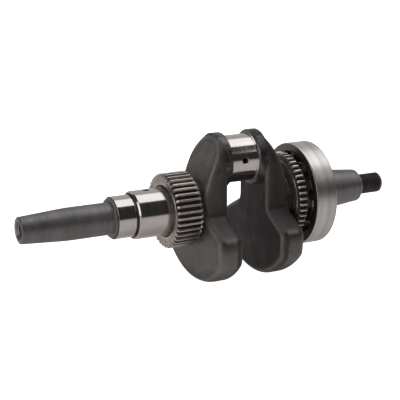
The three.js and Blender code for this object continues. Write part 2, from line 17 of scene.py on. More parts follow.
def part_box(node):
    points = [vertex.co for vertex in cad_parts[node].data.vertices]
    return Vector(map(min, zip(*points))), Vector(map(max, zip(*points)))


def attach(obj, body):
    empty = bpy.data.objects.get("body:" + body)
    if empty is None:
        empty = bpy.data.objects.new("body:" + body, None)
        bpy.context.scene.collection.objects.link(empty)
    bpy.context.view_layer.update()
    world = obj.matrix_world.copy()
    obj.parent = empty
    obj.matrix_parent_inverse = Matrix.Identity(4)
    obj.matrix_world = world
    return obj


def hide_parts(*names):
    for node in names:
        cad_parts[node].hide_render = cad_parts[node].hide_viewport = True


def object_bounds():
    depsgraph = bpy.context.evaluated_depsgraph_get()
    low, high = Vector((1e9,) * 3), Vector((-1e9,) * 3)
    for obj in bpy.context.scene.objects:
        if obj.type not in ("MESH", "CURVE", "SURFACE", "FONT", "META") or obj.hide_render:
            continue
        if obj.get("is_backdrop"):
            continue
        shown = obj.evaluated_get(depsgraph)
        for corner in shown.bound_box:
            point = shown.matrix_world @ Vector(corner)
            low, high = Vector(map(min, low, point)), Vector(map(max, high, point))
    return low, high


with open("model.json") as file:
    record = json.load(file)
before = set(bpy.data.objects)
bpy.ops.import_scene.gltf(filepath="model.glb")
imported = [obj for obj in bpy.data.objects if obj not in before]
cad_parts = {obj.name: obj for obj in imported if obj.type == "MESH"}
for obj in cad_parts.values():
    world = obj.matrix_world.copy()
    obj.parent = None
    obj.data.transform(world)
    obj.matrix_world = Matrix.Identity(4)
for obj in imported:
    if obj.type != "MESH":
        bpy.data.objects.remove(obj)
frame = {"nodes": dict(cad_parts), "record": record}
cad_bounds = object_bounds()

MM = 0.001
record = frame["record"]

# %% [markdown]
# ## Sizes
# The stations along the axis come from the boxes of the CAD nodes, so they can't drift from the frame.
# The few sizes that no box shows, such as a fillet or a journal's diameter, are named here in
# millimetres. X runs along the shaft toward the threaded stud, and Z points at the crankpin.

# %% Stations from the frame


def span(node):
    """Lowest and highest corner of a CAD node, in millimetres."""
    low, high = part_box(node)
    return np.array(low) / MM, np.array(high) / MM


forging_low, forging_high = span("crankshaft_forging")
ring_low, ring_high = span("bearing_outer_ring")
timing_low, timing_high = span("timing_gear")
balancer_low, balancer_high = span("balancer_gear")
plug_low, plug_high = span("oil_gallery_plug")

pto_end, stud_end = forging_low[0], forging_high[0]
timing_left, timing_right = timing_low[0], timing_high[0]
balancer_left, hub_right = balancer_low[0], balancer_high[0]
throw = (plug_low[2] + plug_high[2]) / 2
counterweight_radius = -forging_low[2]
counterweight_half_width = forging_high[1]
arm_top = forging_high[2]

THRUST = {
    mount["name"]: mount["pos_m"][0] / MM for mount in record["mounts"] if "thrust" in mount["name"]
}
left_thrust = THRUST["rod_thrust_face_pto_side"]
right_thrust = THRUST["rod_thrust_face_flywheel_side"]
print(f"throw {throw:.1f}, thrust faces {left_thrust:.1f} and {right_thrust:.1f} mm")

# %% Sizes that no box shows
CLEARANCE = 0.3
WEB_THICKNESS = 20.7
THRUST_RING_HEIGHT = 4
THRUST_RING_RADIUS = 21
PIN_RADIUS = 18
PIN_FILLET = 1.6
ARM_RADIUS = 22
JOURNAL_RADIUS = 18
JOURNAL_LENGTH = 24.6
SEAL_RADIUS = 15.8
SEAL_LENGTH = 13.8
COLLAR_RADIUS = 14.7
COLLAR_LENGTH = 1.8
GROOVE_WIDTH = 1.7
UNDERCUT_WIDTH = 1.6
PTO_RADIUS = 12
PTO_LENGTH = 34
SHOULDER_RADIUS = 21.5
BEARING_SEAT_RADIUS = 19.7

web_left_inner = left_thrust - THRUST_RING_HEIGHT
web_left_outer = web_left_inner - WEB_THICKNESS
web_right_inner = right_thrust + THRUST_RING_HEIGHT
web_right_outer = web_right_inner + WEB_THICKNESS
journal_right = timing_left - UNDERCUT_WIDTH
journal_left = journal_right - JOURNAL_LENGTH
seal_right = journal_left - GROOVE_WIDTH
seal_left = seal_right - SEAL_LENGTH
pto_start = seal_left - COLLAR_LENGTH
pto_taper = pto_start - PTO_LENGTH
print(f"webs {web_left_outer:.1f} to {web_right_outer:.1f}, power take-off end {pto_end:.1f} mm")

# %% [markdown]
# ## From a grid of points to a mesh
# Every surface below is a grid: rows run along the piece and columns run round it. One helper turns
# such a grid into a closed mesh with whole-array index arithmetic. Numbers that a finish needs, such
# as how near a vertex is to an edge, are stored on it as attributes.

# %% Grid to mesh
SHARP_ANGLE = math.radians(38)


def grid_piece(name, points, wrap_rows=False, **fields):
    """Mesh of points[row, column] in millimetres. Face (r, c) joins the points (r, c), (r, c + 1),
    (r + 1, c + 1) and (r + 1, c); columns close round, and rows too where wrap_rows is set."""
    index = np.arange(points.shape[0] * points.shape[1]).reshape(points.shape[:2])
    near = index if wrap_rows else index[:-1]
    far = np.roll(index, -1, axis=0) if wrap_rows else index[1:]
    quads = np.stack([near, np.roll(near, -1, 1), np.roll(far, -1, 1), far], axis=-1).reshape(-1, 4)
    mesh = bpy.data.meshes.new(name)
    mesh.from_pydata((points.reshape(-1, 3) * MM).tolist(), [], quads.tolist())
    for field, values in fields.items():
        layer = mesh.attributes.new(field, "FLOAT", "POINT")
        spread = np.broadcast_to(values, points.shape[:2])
        layer.data.foreach_set("value", spread.ravel().astype(np.float32))
    work = bmesh.new()
    work.from_mesh(mesh)
    bmesh.ops.remove_doubles(work, verts=work.verts, dist=1e-6)
    bmesh.ops.recalc_face_normals(work, faces=work.faces)
    work.to_mesh(mesh)
    work.free()
    mesh.shade_smooth()
    mesh.set_sharp_from_angle(angle=SHARP_ANGLE)
    piece = bpy.data.objects.new(name, mesh)
    bpy.context.scene.collection.objects.link(piece)
    return piece


def stands_for(piece, node, *materials):
    """Puts a finished piece in place of a CAD node, on that node's body, with the given materials."""
    body = next(b for b, nodes in record["behaviour"]["bodies"].items() if node in nodes)
    piece.data.materials.clear()
    for material in materials:
        piece.data.materials.append(material)
    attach(piece, body)
    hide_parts(node)
    print(f"{piece.name}: {len(piece.data.polygons)} faces on {body}")
    return piece


# %% [markdown]
# ## Turned surfaces
# Most of a crankshaft is turned or ground between centres. A lathe profile is a short list of corners,
# each with the size of its rounding. The corners become small curves, and the profile is carried round
# the axis.
# Each corner also says whether the stretch after it is ground bright (0) or left dark (1).

# %% Lathe profile and turned piece
CORNER_STEPS = 6
SUPPORT = 0.35  # from a rounding to the row that keeps shading flat beside it
SUPPORT_ROOM = 3  # a stretch gets that row when it is this many times longer
ROUNDING_SHARE = 0.45  # the most of a stretch that one rounding may take
WORN_ROUNDING = 1.2  # only roundings up to this size are rubbed bright
AROUND = 128


def profile_of(corners, closed=False):
    """x, radius, edge and dark along a profile. A corner (x, radius, rounding, dark) becomes the
    quadratic curve (1-s)^2 A + 2s(1-s) P + s^2 B between points A and B on its two sides. The edge
    is 1 on a curve that turns away from the metal, which lies on the right of the profile."""
    rows = []
    count = len(corners)
    for i, (x, radius, rounding, dark) in enumerate(corners):
        here = np.array([x, radius], float)
        if not closed and i in (0, count - 1):
            rows.append([x, radius, 0, dark])
            continue
        before = np.array(corners[i - 1][:2], float) - here
        after = np.array(corners[(i + 1) % count][:2], float) - here
        long_in, long_out = np.linalg.norm(before), np.linalg.norm(after)
        leg = min(rounding, ROUNDING_SHARE * long_in, ROUNDING_SHARE * long_out)
        start, end = here + before / long_in * leg, here + after / long_out * leg
        turn = before[0] * after[1] - before[1] * after[0]
        edge = 1.0 if turn > 0 and 0 < rounding <= WORN_ROUNDING else 0.0
        dark_in = corners[i - 1][3]
        if long_in > SUPPORT_ROOM * (leg + SUPPORT):
            rows.append([*(here + before / long_in * (leg + SUPPORT)), 0, dark_in])
        for s in np.linspace(0, 1, CORNER_STEPS + 1 if rounding else 2):
            point = (1 - s) ** 2 * start + 2 * s * (1 - s) * here + s**2 * end
            rows.append([*point, edge, dark_in if s < 0.5 else dark])
        if long_out > SUPPORT_ROOM * (leg + SUPPORT):
            rows.append([*(here + after / long_out * (leg + SUPPORT)), 0, dark])
    return np.array(rows, float).T


def denser(profile, low, high, step):
    """The profile with rows no further apart than step between two stations along X."""
    length = np.r_[0, np.cumsum(np.hypot(np.diff(profile[0]), np.diff(profile[1])))]
    fine = np.arange(0, length[-1], step)
    inside = (np.interp(fine, length, profile[0]) > low) & (np.interp(fine, length, profile[0]) < high)
    stations = np.unique(np.r_[length, fine[inside]].round(4))
    return np.array([np.interp(stations, length, field) for field in profile])


def turned(name, profile, height=0.0, around=AROUND, wrap_rows=False, radial=0.0):
    """Point (x, r cos t, height + r sin t) for each profile row (x, r) and angle t round the axis.
    radial is added to r and may change with both, as a thread does."""
    x, radius, edge, dark = profile
    angle = np.linspace(0, 2 * np.pi, around, endpoint=False)
    r = radius[:, None] + radial
    rows = np.broadcast_to(x[:, None], (len(x), around))
    points = np.stack([rows, r * np.cos(angle), height + r * np.sin(angle)], axis=-1)
    return grid_piece(name, points, wrap_rows, edge=edge[:, None], dark=dark[:, None])


def solid_profile(corners, dark=1):
    """Profile of a solid piece: its ends are closed with straight lines from the axis."""
    return profile_of([(corners[0][0], 0, 0, dark), *corners, (corners[-1][0], 0, 0, dark)])


THREAD_STEEPNESS = 1.5
ON_NOMINAL = 0.02


def thread(profile, nominal, low, high, pitch, depth, around=AROUND):
    """Radial offset of a single-start thread: depth times a wave of x / pitch - t / 2 pi with flat
    crests and roots, on rows at the nominal radius only, faded in over one pitch at each end."""
    angle = np.linspace(0, 2 * np.pi, around, endpoint=False)
    phase = (profile[0][:, None] / pitch - angle / (2 * np.pi)) % 1
    wave = np.clip(THREAD_STEEPNESS * (np.abs(2 * phase - 1) - 0.5), -0.5, 0.5) - 0.5
    fade = np.clip((profile[0] - low) / pitch, 0, 1) * np.clip((high - profile[0]) / pitch, 0, 1)
    fade = fade * (np.abs(profile[1] - nominal) < ON_NOMINAL)
    return depth * wave * fade[:, None]


print("helpers for turned surfaces are ready")

# %% [markdown]
# ## Finishes
# Steel here comes in four states: forged and left with its dark scale, turned and darkened, ground
# bright, and cut as gear teeth. What these share is built once as node groups: the fine pitted grain of
# a forging, the rings that a lathe or a grinding wheel leaves, the bright line where an edge has been
# rubbed, and a depth tint that darkens a tooth gap with oil stain and painted shade. A group puts out
# only values and colours, so each material keeps its own shader and sets its own numbers.

# %% Node group helpers


def group_of(name, inputs, outputs):
    """A shader node group with float inputs (name, default) and float outputs, a Nodes to add to it
    with, the inputs as sockets to read, and the inputs of its output node."""
    group = bpy.data.node_groups.new(name, "ShaderNodeTree")
    for label, default in inputs:
        socket = group.interface.new_socket(label, in_out="INPUT", socket_type="NodeSocketFloat")
        socket.default_value = default
    for label in outputs:
        group.interface.new_socket(label, in_out="OUTPUT", socket_type="NodeSocketFloat")
    n = Nodes(group)
    return group, n, n.add("NodeGroupInput").outputs, n.add("NodeGroupOutput").inputs


class Nodes:
    """Short way to add nodes to a tree: sockets may be numbers or the outputs of other nodes."""

    def __init__(self, tree):
        self.tree = tree

    def add(self, kind, properties=None, **sockets):
        node = self.tree.nodes.new(kind)
        for key, value in (properties or {}).items():
            setattr(node, key, value)
        for key, value in sockets.items():
            self.feed(node.inputs[key.replace("_", " ")], value)
        return node

    def feed(self, socket, value):
        if isinstance(value, bpy.types.NodeSocket):
            self.tree.links.new(value, socket)
        else:
            socket.default_value = value

    def math(self, operation, *values, clamp=False):
        node = self.tree.nodes.new("ShaderNodeMath")
        node.operation = operation
        node.use_clamp = clamp
        for socket, value in zip(node.inputs, values):
            self.feed(socket, value)
        return node.outputs[0]

    def ranged(self, value, low, high, to_low=0.0, to_high=1.0):
        node = self.add(
            "ShaderNodeMapRange",
            {"interpolation_type": "SMOOTHSTEP"},
            Value=value,
            From_Min=low,
            From_Max=high,
            To_Min=to_low,
            To_Max=to_high,
        )
        return node.outputs["Result"]

    def noise(self, vector, scale, detail=3.0, roughness=0.55):
        node = self.add("ShaderNodeTexNoise", None, Vector=vector, Scale=scale, Detail=detail)
        node.inputs["Roughness"].default_value = roughness
        return node.outputs["Fac"]

    def place(self):
        return self.tree.nodes.new("ShaderNodeTexCoord").outputs["Object"]

    def mix(self, factor, a, b):
        node = self.tree.nodes.new("ShaderNodeMix")
        node.data_type = "RGBA"
        self.feed(node.inputs["Factor"], factor)
        self.feed(node.inputs["A"], a)
        self.feed(node.inputs["B"], b)
        return node.outputs["Result"]

    def group(self, tree, **sockets):
        node = self.tree.nodes.new("ShaderNodeGroup")
        node.node_tree = tree
        for key, value in sockets.items():
            self.feed(node.inputs[key.replace("_", " ")], value)
        return node.outputs

    def field(self, name):
        return self.add("ShaderNodeAttribute", {"attribute_name": name}).outputs["Fac"]


# %% Forged grain: a fine pitted skin and slow cloudy patches
GRAIN_SIZES = [("Pit Size", 0.7), ("Patch Size", 14)]
forged_grain, n, asked, given = group_of("Forged grain", GRAIN_SIZES, ["Height", "Patches"])
DIMPLE_SCALE, DIMPLE_HEIGHT = 0.22, 1.6  # against the pits
pit_scale = n.math("DIVIDE", 1 / MM, asked["Pit Size"])
pits = n.noise(n.place(), pit_scale, 4, 0.6)
dimples = n.noise(n.place(), n.math("MULTIPLY", pit_scale, DIMPLE_SCALE), 2, 0.5)
n.feed(given["Height"], n.math("MULTIPLY_ADD", dimples, DIMPLE_HEIGHT, pits))
patch_scale = n.math("DIVIDE", 1 / MM, asked["Patch Size"])
n.feed(given["Patches"], n.ranged(n.noise(n.place(), patch_scale, 5, 0.62), 0.34, 0.68))

# %% Tool rings: lines round the shaft, which depend on x alone, broken up a little along their length
RING_SIZES = [("Spacing", 0.25), ("Breakup", 0.3)]
tool_rings, n, asked, given = group_of("Tool rings", RING_SIZES, ["Height", "Streaks"])
STREAK_SCALE = 0.11  # against the rings
BREAK_SCALE = 900  # per metre, as every noise scale here
along = n.add("ShaderNodeSeparateXYZ", None, Vector=n.place()).outputs["X"]
per_ring = n.math("DIVIDE", along, n.math("MULTIPLY", asked["Spacing"], MM))
rings = n.add("ShaderNodeTexNoise", {"noise_dimensions": "1D"}, W=per_ring, Scale=1.0, Detail=2.0)
streak_place = n.math("MULTIPLY", per_ring, STREAK_SCALE)
broad = n.add("ShaderNodeTexNoise", {"noise_dimensions": "1D"}, W=streak_place, Scale=1.0)
breaks = n.math("MULTIPLY", n.noise(n.place(), BREAK_SCALE, 2), asked["Breakup"])
n.feed(given["Height"], n.math("ADD", rings.outputs["Fac"], breaks))
n.feed(given["Streaks"], n.ranged(broad.outputs["Fac"], 0.35, 0.65))

# %% Rubbed edge: the edge attribute, eaten into by noise so that the bright line isn't even
RUB_INPUTS = [("Edge", 0), ("Amount", 1), ("Breakup", 0.5)]
rubbed_edge, n, asked, given = group_of("Rubbed edge", RUB_INPUTS, ["Mask"])
RUB_SCALE = 420
uneven = n.ranged(n.noise(n.place(), RUB_SCALE, 4, 0.6), 0.3, 0.7)
kept = n.math("SUBTRACT", 1.0, n.math("MULTIPLY", asked["Breakup"], uneven))
rub = n.math("MULTIPLY", n.math("MULTIPLY", asked["Edge"], kept), asked["Amount"], clamp=True)
n.feed(given["Mask"], rub)

# %% Tooth depth: 0 in a gap and 1 on a land, from the distance to the shaft's axis
tooth_depth, n, asked, given = group_of("Tooth depth", [("Root", 25), ("Tip", 28)], ["Mask"])
axes = n.add("ShaderNodeSeparateXYZ", None, Vector=n.place()).outputs
from_axis = n.math("SQRT", n.math("ADD", n.math("POWER", axes["Y"], 2), n.math("POWER", axes["Z"], 2)))
in_mm = n.math("DIVIDE", from_axis, MM)
n.feed(given["Mask"], n.ranged(in_mm, asked["Root"], asked["Tip"]))
print("node groups:", sorted(g.name for g in bpy.data.node_groups))

# %% [markdown]
# ### Materials
# Every steel is a Principled surface. Bright steel is metallic with a clear warm grey colour, so what
# it shows is mostly the room. Scale is darker, rougher and only partly metallic, so it also shows soft
# shading. Colours are chosen for each finish. A piece can carry up to four fields that a finish
# reads: edge is 1 on a rubbed edge, dark on a turned surface that isn't ground, pale for painted light
# on the scale of a web, and face on the flat sides of a gear. A field that a piece lacks reads as 0.

# %% Material helper and colours
SCALE_DARK = (0.020, 0.018, 0.017, 1)
SCALE_LIGHT = (0.044, 0.040, 0.038, 1)
# The next colour is painted light: the scale as it looks where light falls on a web.
SCALE_PAINTED_LIGHT = (0.195, 0.185, 0.175, 1)
SCALE_RUBBED = (0.27, 0.255, 0.24, 1)
TURNED_DARK = (0.165, 0.158, 0.158, 1)
TURNED_LIGHT = (0.215, 0.207, 0.206, 1)
GROUND_WARM = (0.57, 0.530, 0.512, 1)
GROUND_COOL = (0.53, 0.515, 0.505, 1)
# Tooth gap colour: part oil stain, part painted shade in the gaps.
GEAR_GAP_OIL_AND_SHADE = (0.10, 0.075, 0.065, 1)
GEAR_LAND = (0.56, 0.50, 0.475, 1)
GEAR_STAIN = (0.40, 0.35, 0.325, 1)
BEARING_STEEL = (0.57, 0.55, 0.535, 1)
BALL_STEEL = (0.42, 0.40, 0.39, 1)
RING_FACE = (0.17, 0.145, 0.135, 1)
CAGE_STEEL = (0.16, 0.135, 0.12, 1)
STUD_DARK = (0.060, 0.056, 0.055, 1)
STUD_LIGHT = (0.09, 0.085, 0.082, 1)
KEY_STEEL = (0.30, 0.29, 0.28, 1)


def steel(name, colour, roughness, metallic, height=None, bump=0.1, bump_mm=0.05):
    """A Principled material. Each of colour, roughness and metallic is a constant or a node output."""
    material = bpy.data.materials.new(name)
    material.use_nodes = True
    n = Nodes(material.node_tree)
    shader = material.node_tree.nodes["Principled BSDF"]
    n.feed(shader.inputs["Base Color"], colour(n) if callable(colour) else colour)
    n.feed(shader.inputs["Roughness"], roughness(n) if callable(roughness) else roughness)
    n.feed(shader.inputs["Metallic"], metallic(n) if callable(metallic) else metallic)
    if height:
        bumped = n.add("ShaderNodeBump", None, Strength=bump, Distance=bump_mm * MM, Height=height(n))
        n.feed(shader.inputs["Normal"], bumped.outputs["Normal"])
    return material


def wear(n, amount=1.0, breakup=0.5):
    return n.group(rubbed_edge, Edge=n.field("edge"), Amount=amount, Breakup=breakup)["Mask"]


def streaked(n, spacing, low, high):
    """A value that changes between low and high with the streaks of a tool."""
    return n.ranged(n.group(tool_rings, Spacing=spacing)["Streaks"], 0, 1, low, high)


# %% Forged scale, for the webs and the shoulders
def scale_colour(n):
    patches = n.group(forged_grain)["Patches"]
    # Painted light: the pale field lightens the scale where light falls on a web, broken up by the
    # scale's own patches.
    painted_light = n.math("MULTIPLY", n.field("pale"), n.ranged(patches, 0, 1, 0.6, 1.0))
    scale = n.mix(painted_light, n.mix(patches, SCALE_DARK, SCALE_LIGHT), SCALE_PAINTED_LIGHT)
    return n.mix(wear(n, 0.75, 0.4), scale, SCALE_RUBBED)


def scale_roughness(n):
    return n.ranged(n.group(forged_grain)["Patches"], 0, 1, 0.46, 0.60)


forged_scale = steel(
    "forged scale",
    scale_colour,
    scale_roughness,
    0.35,
    height=lambda n: n.group(forged_grain)["Height"],
    bump=0.55,
    bump_mm=0.12,
)


# %% Darkened turned steel, for the power take-off end, the flywheel taper and the stud
def turned_steel(name, dark, light, roughness, spacing, bump):
    def colour(n):
        streaks = n.group(tool_rings, Spacing=spacing * 3)["Streaks"]
        cloud = n.group(forged_grain)["Patches"]
        blend = n.math("MULTIPLY_ADD", streaks, 0.5, n.math("MULTIPLY", cloud, 0.5))
        return n.mix(wear(n, 0.7, 0.35), n.mix(blend, dark, light), GROUND_COOL)

    return steel(
        name,
        colour,
        lambda n: streaked(n, spacing, roughness, roughness + 0.1),
        0.75,
        height=lambda n: n.group(tool_rings, Spacing=spacing)["Height"],
        bump=bump,
        bump_mm=0.04,
    )


pto_steel = turned_steel("darkened shaft", TURNED_DARK, TURNED_LIGHT, 0.44, 0.35, 0.08)
taper_steel = turned_steel("turned taper", TURNED_DARK, TURNED_LIGHT, 0.38, 0.22, 0.15)
stud_steel = turned_steel("black thread", STUD_DARK, STUD_LIGHT, 0.45, 0.3, 0.1)


# %% Ground journals: bright where the wheel has been, dark where the dark attribute says it hasn't
def journal_colour(n):
    streaks = n.group(tool_rings, Spacing=0.9)["Streaks"]
    bright = n.mix(n.math("MULTIPLY", streaks, 0.35), GROUND_WARM, GROUND_COOL)
    scaled = n.mix(n.group(forged_grain)["Patches"], SCALE_DARK, TURNED_LIGHT)
    return n.mix(n.field("dark"), bright, scaled)


def journal_roughness(n):
    return n.math("MULTIPLY_ADD", n.field("dark"), 0.33, streaked(n, 0.5, 0.11, 0.15))


ground_journal = steel(
    "ground journal",
    journal_colour,
    journal_roughness,
    lambda n: n.ranged(n.field("dark"), 0, 1, 1.0, 0.6),
    height=lambda n: n.group(tool_rings, Spacing=0.12)["Height"],
    bump=0.12,
    bump_mm=0.01,
)


# %% Gear steel: bright lands, gaps brown with oil stain and painted shade
def gear_steel(name, root, tip):
    def depth(n):
        return n.math("MAXIMUM", n.group(tooth_depth, Root=root, Tip=tip)["Mask"], n.field("face"))

    def colour(n):
        land = n.mix(n.group(forged_grain, Patch_Size=5)["Patches"], GEAR_LAND, GEAR_STAIN)
        # Painted shade with oil stain: the gap colour darkens the tooth gaps by depth.
        return n.mix(wear(n, 0.6), n.mix(depth(n), GEAR_GAP_OIL_AND_SHADE, land), GROUND_WARM)

    return steel(
        name,
        colour,
        lambda n: n.ranged(depth(n), 0, 1, 0.50, 0.27),
        lambda n: n.ranged(depth(n), 0, 1, 0.55, 1.0),
        height=lambda n: n.group(forged_grain, Pit_Size=0.25)["Height"],
        bump=0.2,
        bump_mm=0.02,
    )


# %% Bearing steel, balls, cage and keys
SATIN_TINT = 0.82


def satin(name, colour, roughness, spacing, bump):
    tint = (*(SATIN_TINT * channel for channel in colour[:3]), 1)

    def blended(n):
        ringed = n.mix(n.group(tool_rings, Spacing=spacing * 4)["Streaks"], colour, tint)
        return n.mix(n.field("dark"), ringed, RING_FACE)

    return steel(
        name,
        blended,
        lambda n: streaked(n, spacing, roughness, roughness + 0.05),
        1.0,
        height=lambda n: n.group(tool_rings, Spacing=spacing)["Height"],
        bump=bump,
        bump_mm=0.01,
    )


ring_steel = satin("ground bearing ring", BEARING_STEEL, 0.33, 0.14, 0.15)
ball_steel = satin("polished ball", BALL_STEEL, 0.06, 0.5, 0.02)
cage_steel = satin("pressed cage", CAGE_STEEL, 0.32, 0.4, 0.2)
key_steel = satin("key steel", KEY_STEEL, 0.36, 0.3, 0.25)
print("materials:", len(bpy.data.materials))

# %% [markdown]
# ## The forging
# On the real part the shaft, pin and webs are one forging. Here each region is a surface of its own, so
# that every one gets a grid that suits it, and neighbours run a few millimetres into each other where
# no one can see. First the power take-off end: a straight shaft that tapers toward a tapped hole.

# %% Power take-off shaft with its tapped hole
TAP_RADIUS = 5.2
TAP_DEPTH = 34
TAP_TIP = 3
TAP_PITCH = 1.5
TAP_THREAD_DEPTH = 0.8
SINK_RADIUS = 7.3
END_RADIUS = 9.74
BURIED = 2  # how far one turned piece runs on inside its neighbour

tap_bottom = pto_end + TAP_DEPTH
tap_top = pto_end + SINK_RADIUS - TAP_RADIUS
pto_profile = profile_of([
    (tap_bottom + TAP_TIP, 0, 0, 1),
    (tap_bottom, TAP_RADIUS, 0, 1),
    (tap_top, TAP_RADIUS, 0.2, 0.5),
    (pto_end, SINK_RADIUS, 0.3, 0),
    (pto_end, END_RADIUS, 1.3, 1),
    (pto_taper, PTO_RADIUS, 6, 1),
    (pto_start, PTO_RADIUS, 0.6, 1),
    (pto_start, COLLAR_RADIUS, 1.3, 1),
    (seal_left + BURIED, COLLAR_RADIUS, 0, 1),
    (seal_left + BURIED, 0, 0, 1),
])
pto_profile = denser(pto_profile, pto_end, tap_bottom, TAP_PITCH / 8)
tap_thread = thread(pto_profile, TAP_RADIUS, tap_top, tap_bottom, TAP_PITCH, -TAP_THREAD_DEPTH)
pto_shaft = turned("pto_shaft", pto_profile, radial=tap_thread)
stands_for(pto_shaft, "crankshaft_forging", pto_steel)

# %% [markdown]
# ### Oil holes
# Oil reaches the pin through countersunk holes. A turned cutter and a Boolean modifier, applied at
# once, cut each one. The holes are blind here, and only the CAD model joins them inside.

# %% Drilled hole helper


def drilled(piece, mouth, direction, radius, depth, sink=0.9):
    """Cuts a countersunk hole into a piece. The cutter is turned about X, then its mesh is carried by
    the rotation that takes X to the direction and by a shift to the mouth."""
    cutter = turned("cutter", profile_of([
        (-depth, 0, 0, 1),
        (-depth, radius, 0, 1),
        (-sink, radius, 0, 1),
        (sink, radius + 2 * sink, 0, 1),
        (sink, 0, 0, 1),
    ]), around=48)
    turn = Vector((1, 0, 0)).rotation_difference(Vector(direction)).to_matrix().to_4x4()
    turn.translation = Vector(mouth) * MM
    cutter.data.transform(turn)
    cut = piece.modifiers.new("hole", "BOOLEAN")
    cut.operation = "DIFFERENCE"
    cut.solver = "EXACT"
    cut.object = cutter
    whole = piece.evaluated_get(bpy.context.evaluated_depsgraph_get())
    mesh = bpy.data.meshes.new_from_object(whole)
    piece.modifiers.clear()
    piece.data = mesh
    bpy.data.objects.remove(cutter)
    mesh.set_sharp_from_angle(angle=SHARP_ANGLE)
    print(f"{piece.name}: hole of {2 * radius} mm, {len(mesh.polygons)} faces")


# %% Seal journal and main journal
GROOVE_RADIUS = 14.8
UNDERCUT_RADIUS = 16.8
TIMING_SEAT_RADIUS = 18.5
JOURNAL_CHAMFER = 1.1
OIL_HOLE_RADIUS = 2
OIL_HOLE_DEPTH = 14

main_journal = turned("main_journal", solid_profile([
    (seal_left, SEAL_RADIUS, 0.5, 0),
    (seal_right, SEAL_RADIUS, 0.3, 1),
    (seal_right, GROOVE_RADIUS, 0.2, 1),
    (journal_left, GROOVE_RADIUS, 0.2, 1),
    (journal_left, JOURNAL_RADIUS - JOURNAL_CHAMFER, 0.2, 0),
    (journal_left + JOURNAL_CHAMFER, JOURNAL_RADIUS, 0.3, 0),
    (journal_right, JOURNAL_RADIUS, 0.4, 0.5),
    (journal_right, UNDERCUT_RADIUS, 0.3, 0.5),
    (timing_left, UNDERCUT_RADIUS, 0.2, 0.7),
    (timing_left, TIMING_SEAT_RADIUS, 0.2, 1),
    (timing_right + BURIED, TIMING_SEAT_RADIUS, 0, 1),
]))
journal_middle = (journal_left + journal_right) / 2
journal_mouth = (journal_middle, 0, JOURNAL_RADIUS)
drilled(main_journal, journal_mouth, (0, 0, 1), OIL_HOLE_RADIUS, OIL_HOLE_DEPTH)
stands_for(main_journal, "crankshaft_forging", ground_journal)

# %% Shoulder between the timing gear and its web
BURIED_IN_WEB = 8

timing_shoulder = turned("timing_shoulder", solid_profile([
    (timing_right + CLEARANCE, SHOULDER_RADIUS, 0.5, 1),
    (web_left_outer + BURIED_IN_WEB, SHOULDER_RADIUS, 0, 1),
]))
stands_for(timing_shoulder, "crankshaft_forging", forged_scale)

# %% [markdown]
# ### Crankpin
# The connecting rod runs on the pin between two thrust rings. Pin, fillets and ring faces are ground in
# one pass. The pin and its fillets are bright, the ring faces have dulled, and the outside of each ring
# keeps its scale.

# %% Crankpin with its thrust rings
PIN_OIL_ANGLE = math.radians(175)
PIN_BURIED = 3

crankpin = turned("crankpin", solid_profile([
    (web_left_inner - PIN_BURIED, THRUST_RING_RADIUS, 0, 1),
    (left_thrust, THRUST_RING_RADIUS, 0.6, 0.35),
    (left_thrust, PIN_RADIUS, PIN_FILLET, 0),
    (right_thrust, PIN_RADIUS, PIN_FILLET, 0.8),
    (right_thrust, THRUST_RING_RADIUS, 0.6, 1),
    (web_right_inner + PIN_BURIED, THRUST_RING_RADIUS, 0, 1),
]), height=throw)
pin_middle = (left_thrust + right_thrust) / 2
oil_way = np.array([0, math.cos(PIN_OIL_ANGLE), math.sin(PIN_OIL_ANGLE)])
pin_mouth = np.array([pin_middle, 0, throw]) + PIN_RADIUS * oil_way
drilled(crankpin, pin_mouth, oil_way, OIL_HOLE_RADIUS, OIL_HOLE_DEPTH)
stands_for(crankpin, "crankshaft_forging", ground_journal)

# %% [markdown]
# ### Webs
# A web is an arm that carries the pin and a counterweight below, forged with soft edges. Its outline is
# one closed curve. Each face is that outline drawn inward to a spine, and the face's distance from the
# outline says how far the edge rounding has dropped it. The outer face also leans in toward the pin.
# Handling has rubbed the edges, which the edge field records. The pale field is painted light on the
# outer face, the counterweight's upper sides and the rim, more on the first web; the inner face gets
# none.

# %% Web outline
FLARE_Z = -3.5
SHOULDER_Z = -16.5
HALF_POINTS = 260
TOP_POINTS, UNDER_POINTS = 60, 90
OUTLINE_SOFTNESS = 2.6
SOFTNESS_REACH = 20


def even(points, count):
    """Points spaced evenly by length along an open line of corners."""
    length = np.r_[0, np.cumsum(np.linalg.norm(np.diff(points, axis=0), axis=1))]
    wanted = np.linspace(0, length[-1], count)
    return np.stack([np.interp(wanted, length, points[:, axis]) for axis in (0, 1)], axis=1)


def web_outline():
    """Closed outline in (y, z): arm top arc, straight arm, flare, shoulder and round counterweight.
    Corners are softened by a Gaussian average of neighbours, whose width is in millimetres."""
    over = np.linspace(np.pi / 2, 0, TOP_POINTS)
    arc = np.stack([ARM_RADIUS * np.cos(over), throw + (arm_top - throw) * np.sin(over)], axis=1)
    half_width = counterweight_half_width
    low_angle = -math.acos(half_width / counterweight_radius)
    under = np.linspace(low_angle, -np.pi / 2, UNDER_POINTS)
    round_part = counterweight_radius * np.stack([np.cos(under), np.sin(under)], axis=1)
    corners = np.array([[ARM_RADIUS, FLARE_Z], [half_width, SHOULDER_Z]])
    half = even(np.concatenate([arc, corners, round_part]), HALF_POINTS)
    whole = np.concatenate([half, half[-2:0:-1] * [-1, 1]])
    spacing = np.linalg.norm(whole[1] - whole[0])
    reach = np.arange(-SOFTNESS_REACH, SOFTNESS_REACH + 1)
    weights = np.exp(-0.5 * (reach * spacing / OUTLINE_SOFTNESS) ** 2)
    shifted = np.stack([np.roll(whole, -k, axis=0) for k in reach])
    return np.tensordot(weights / weights.sum(), shifted, axes=1)


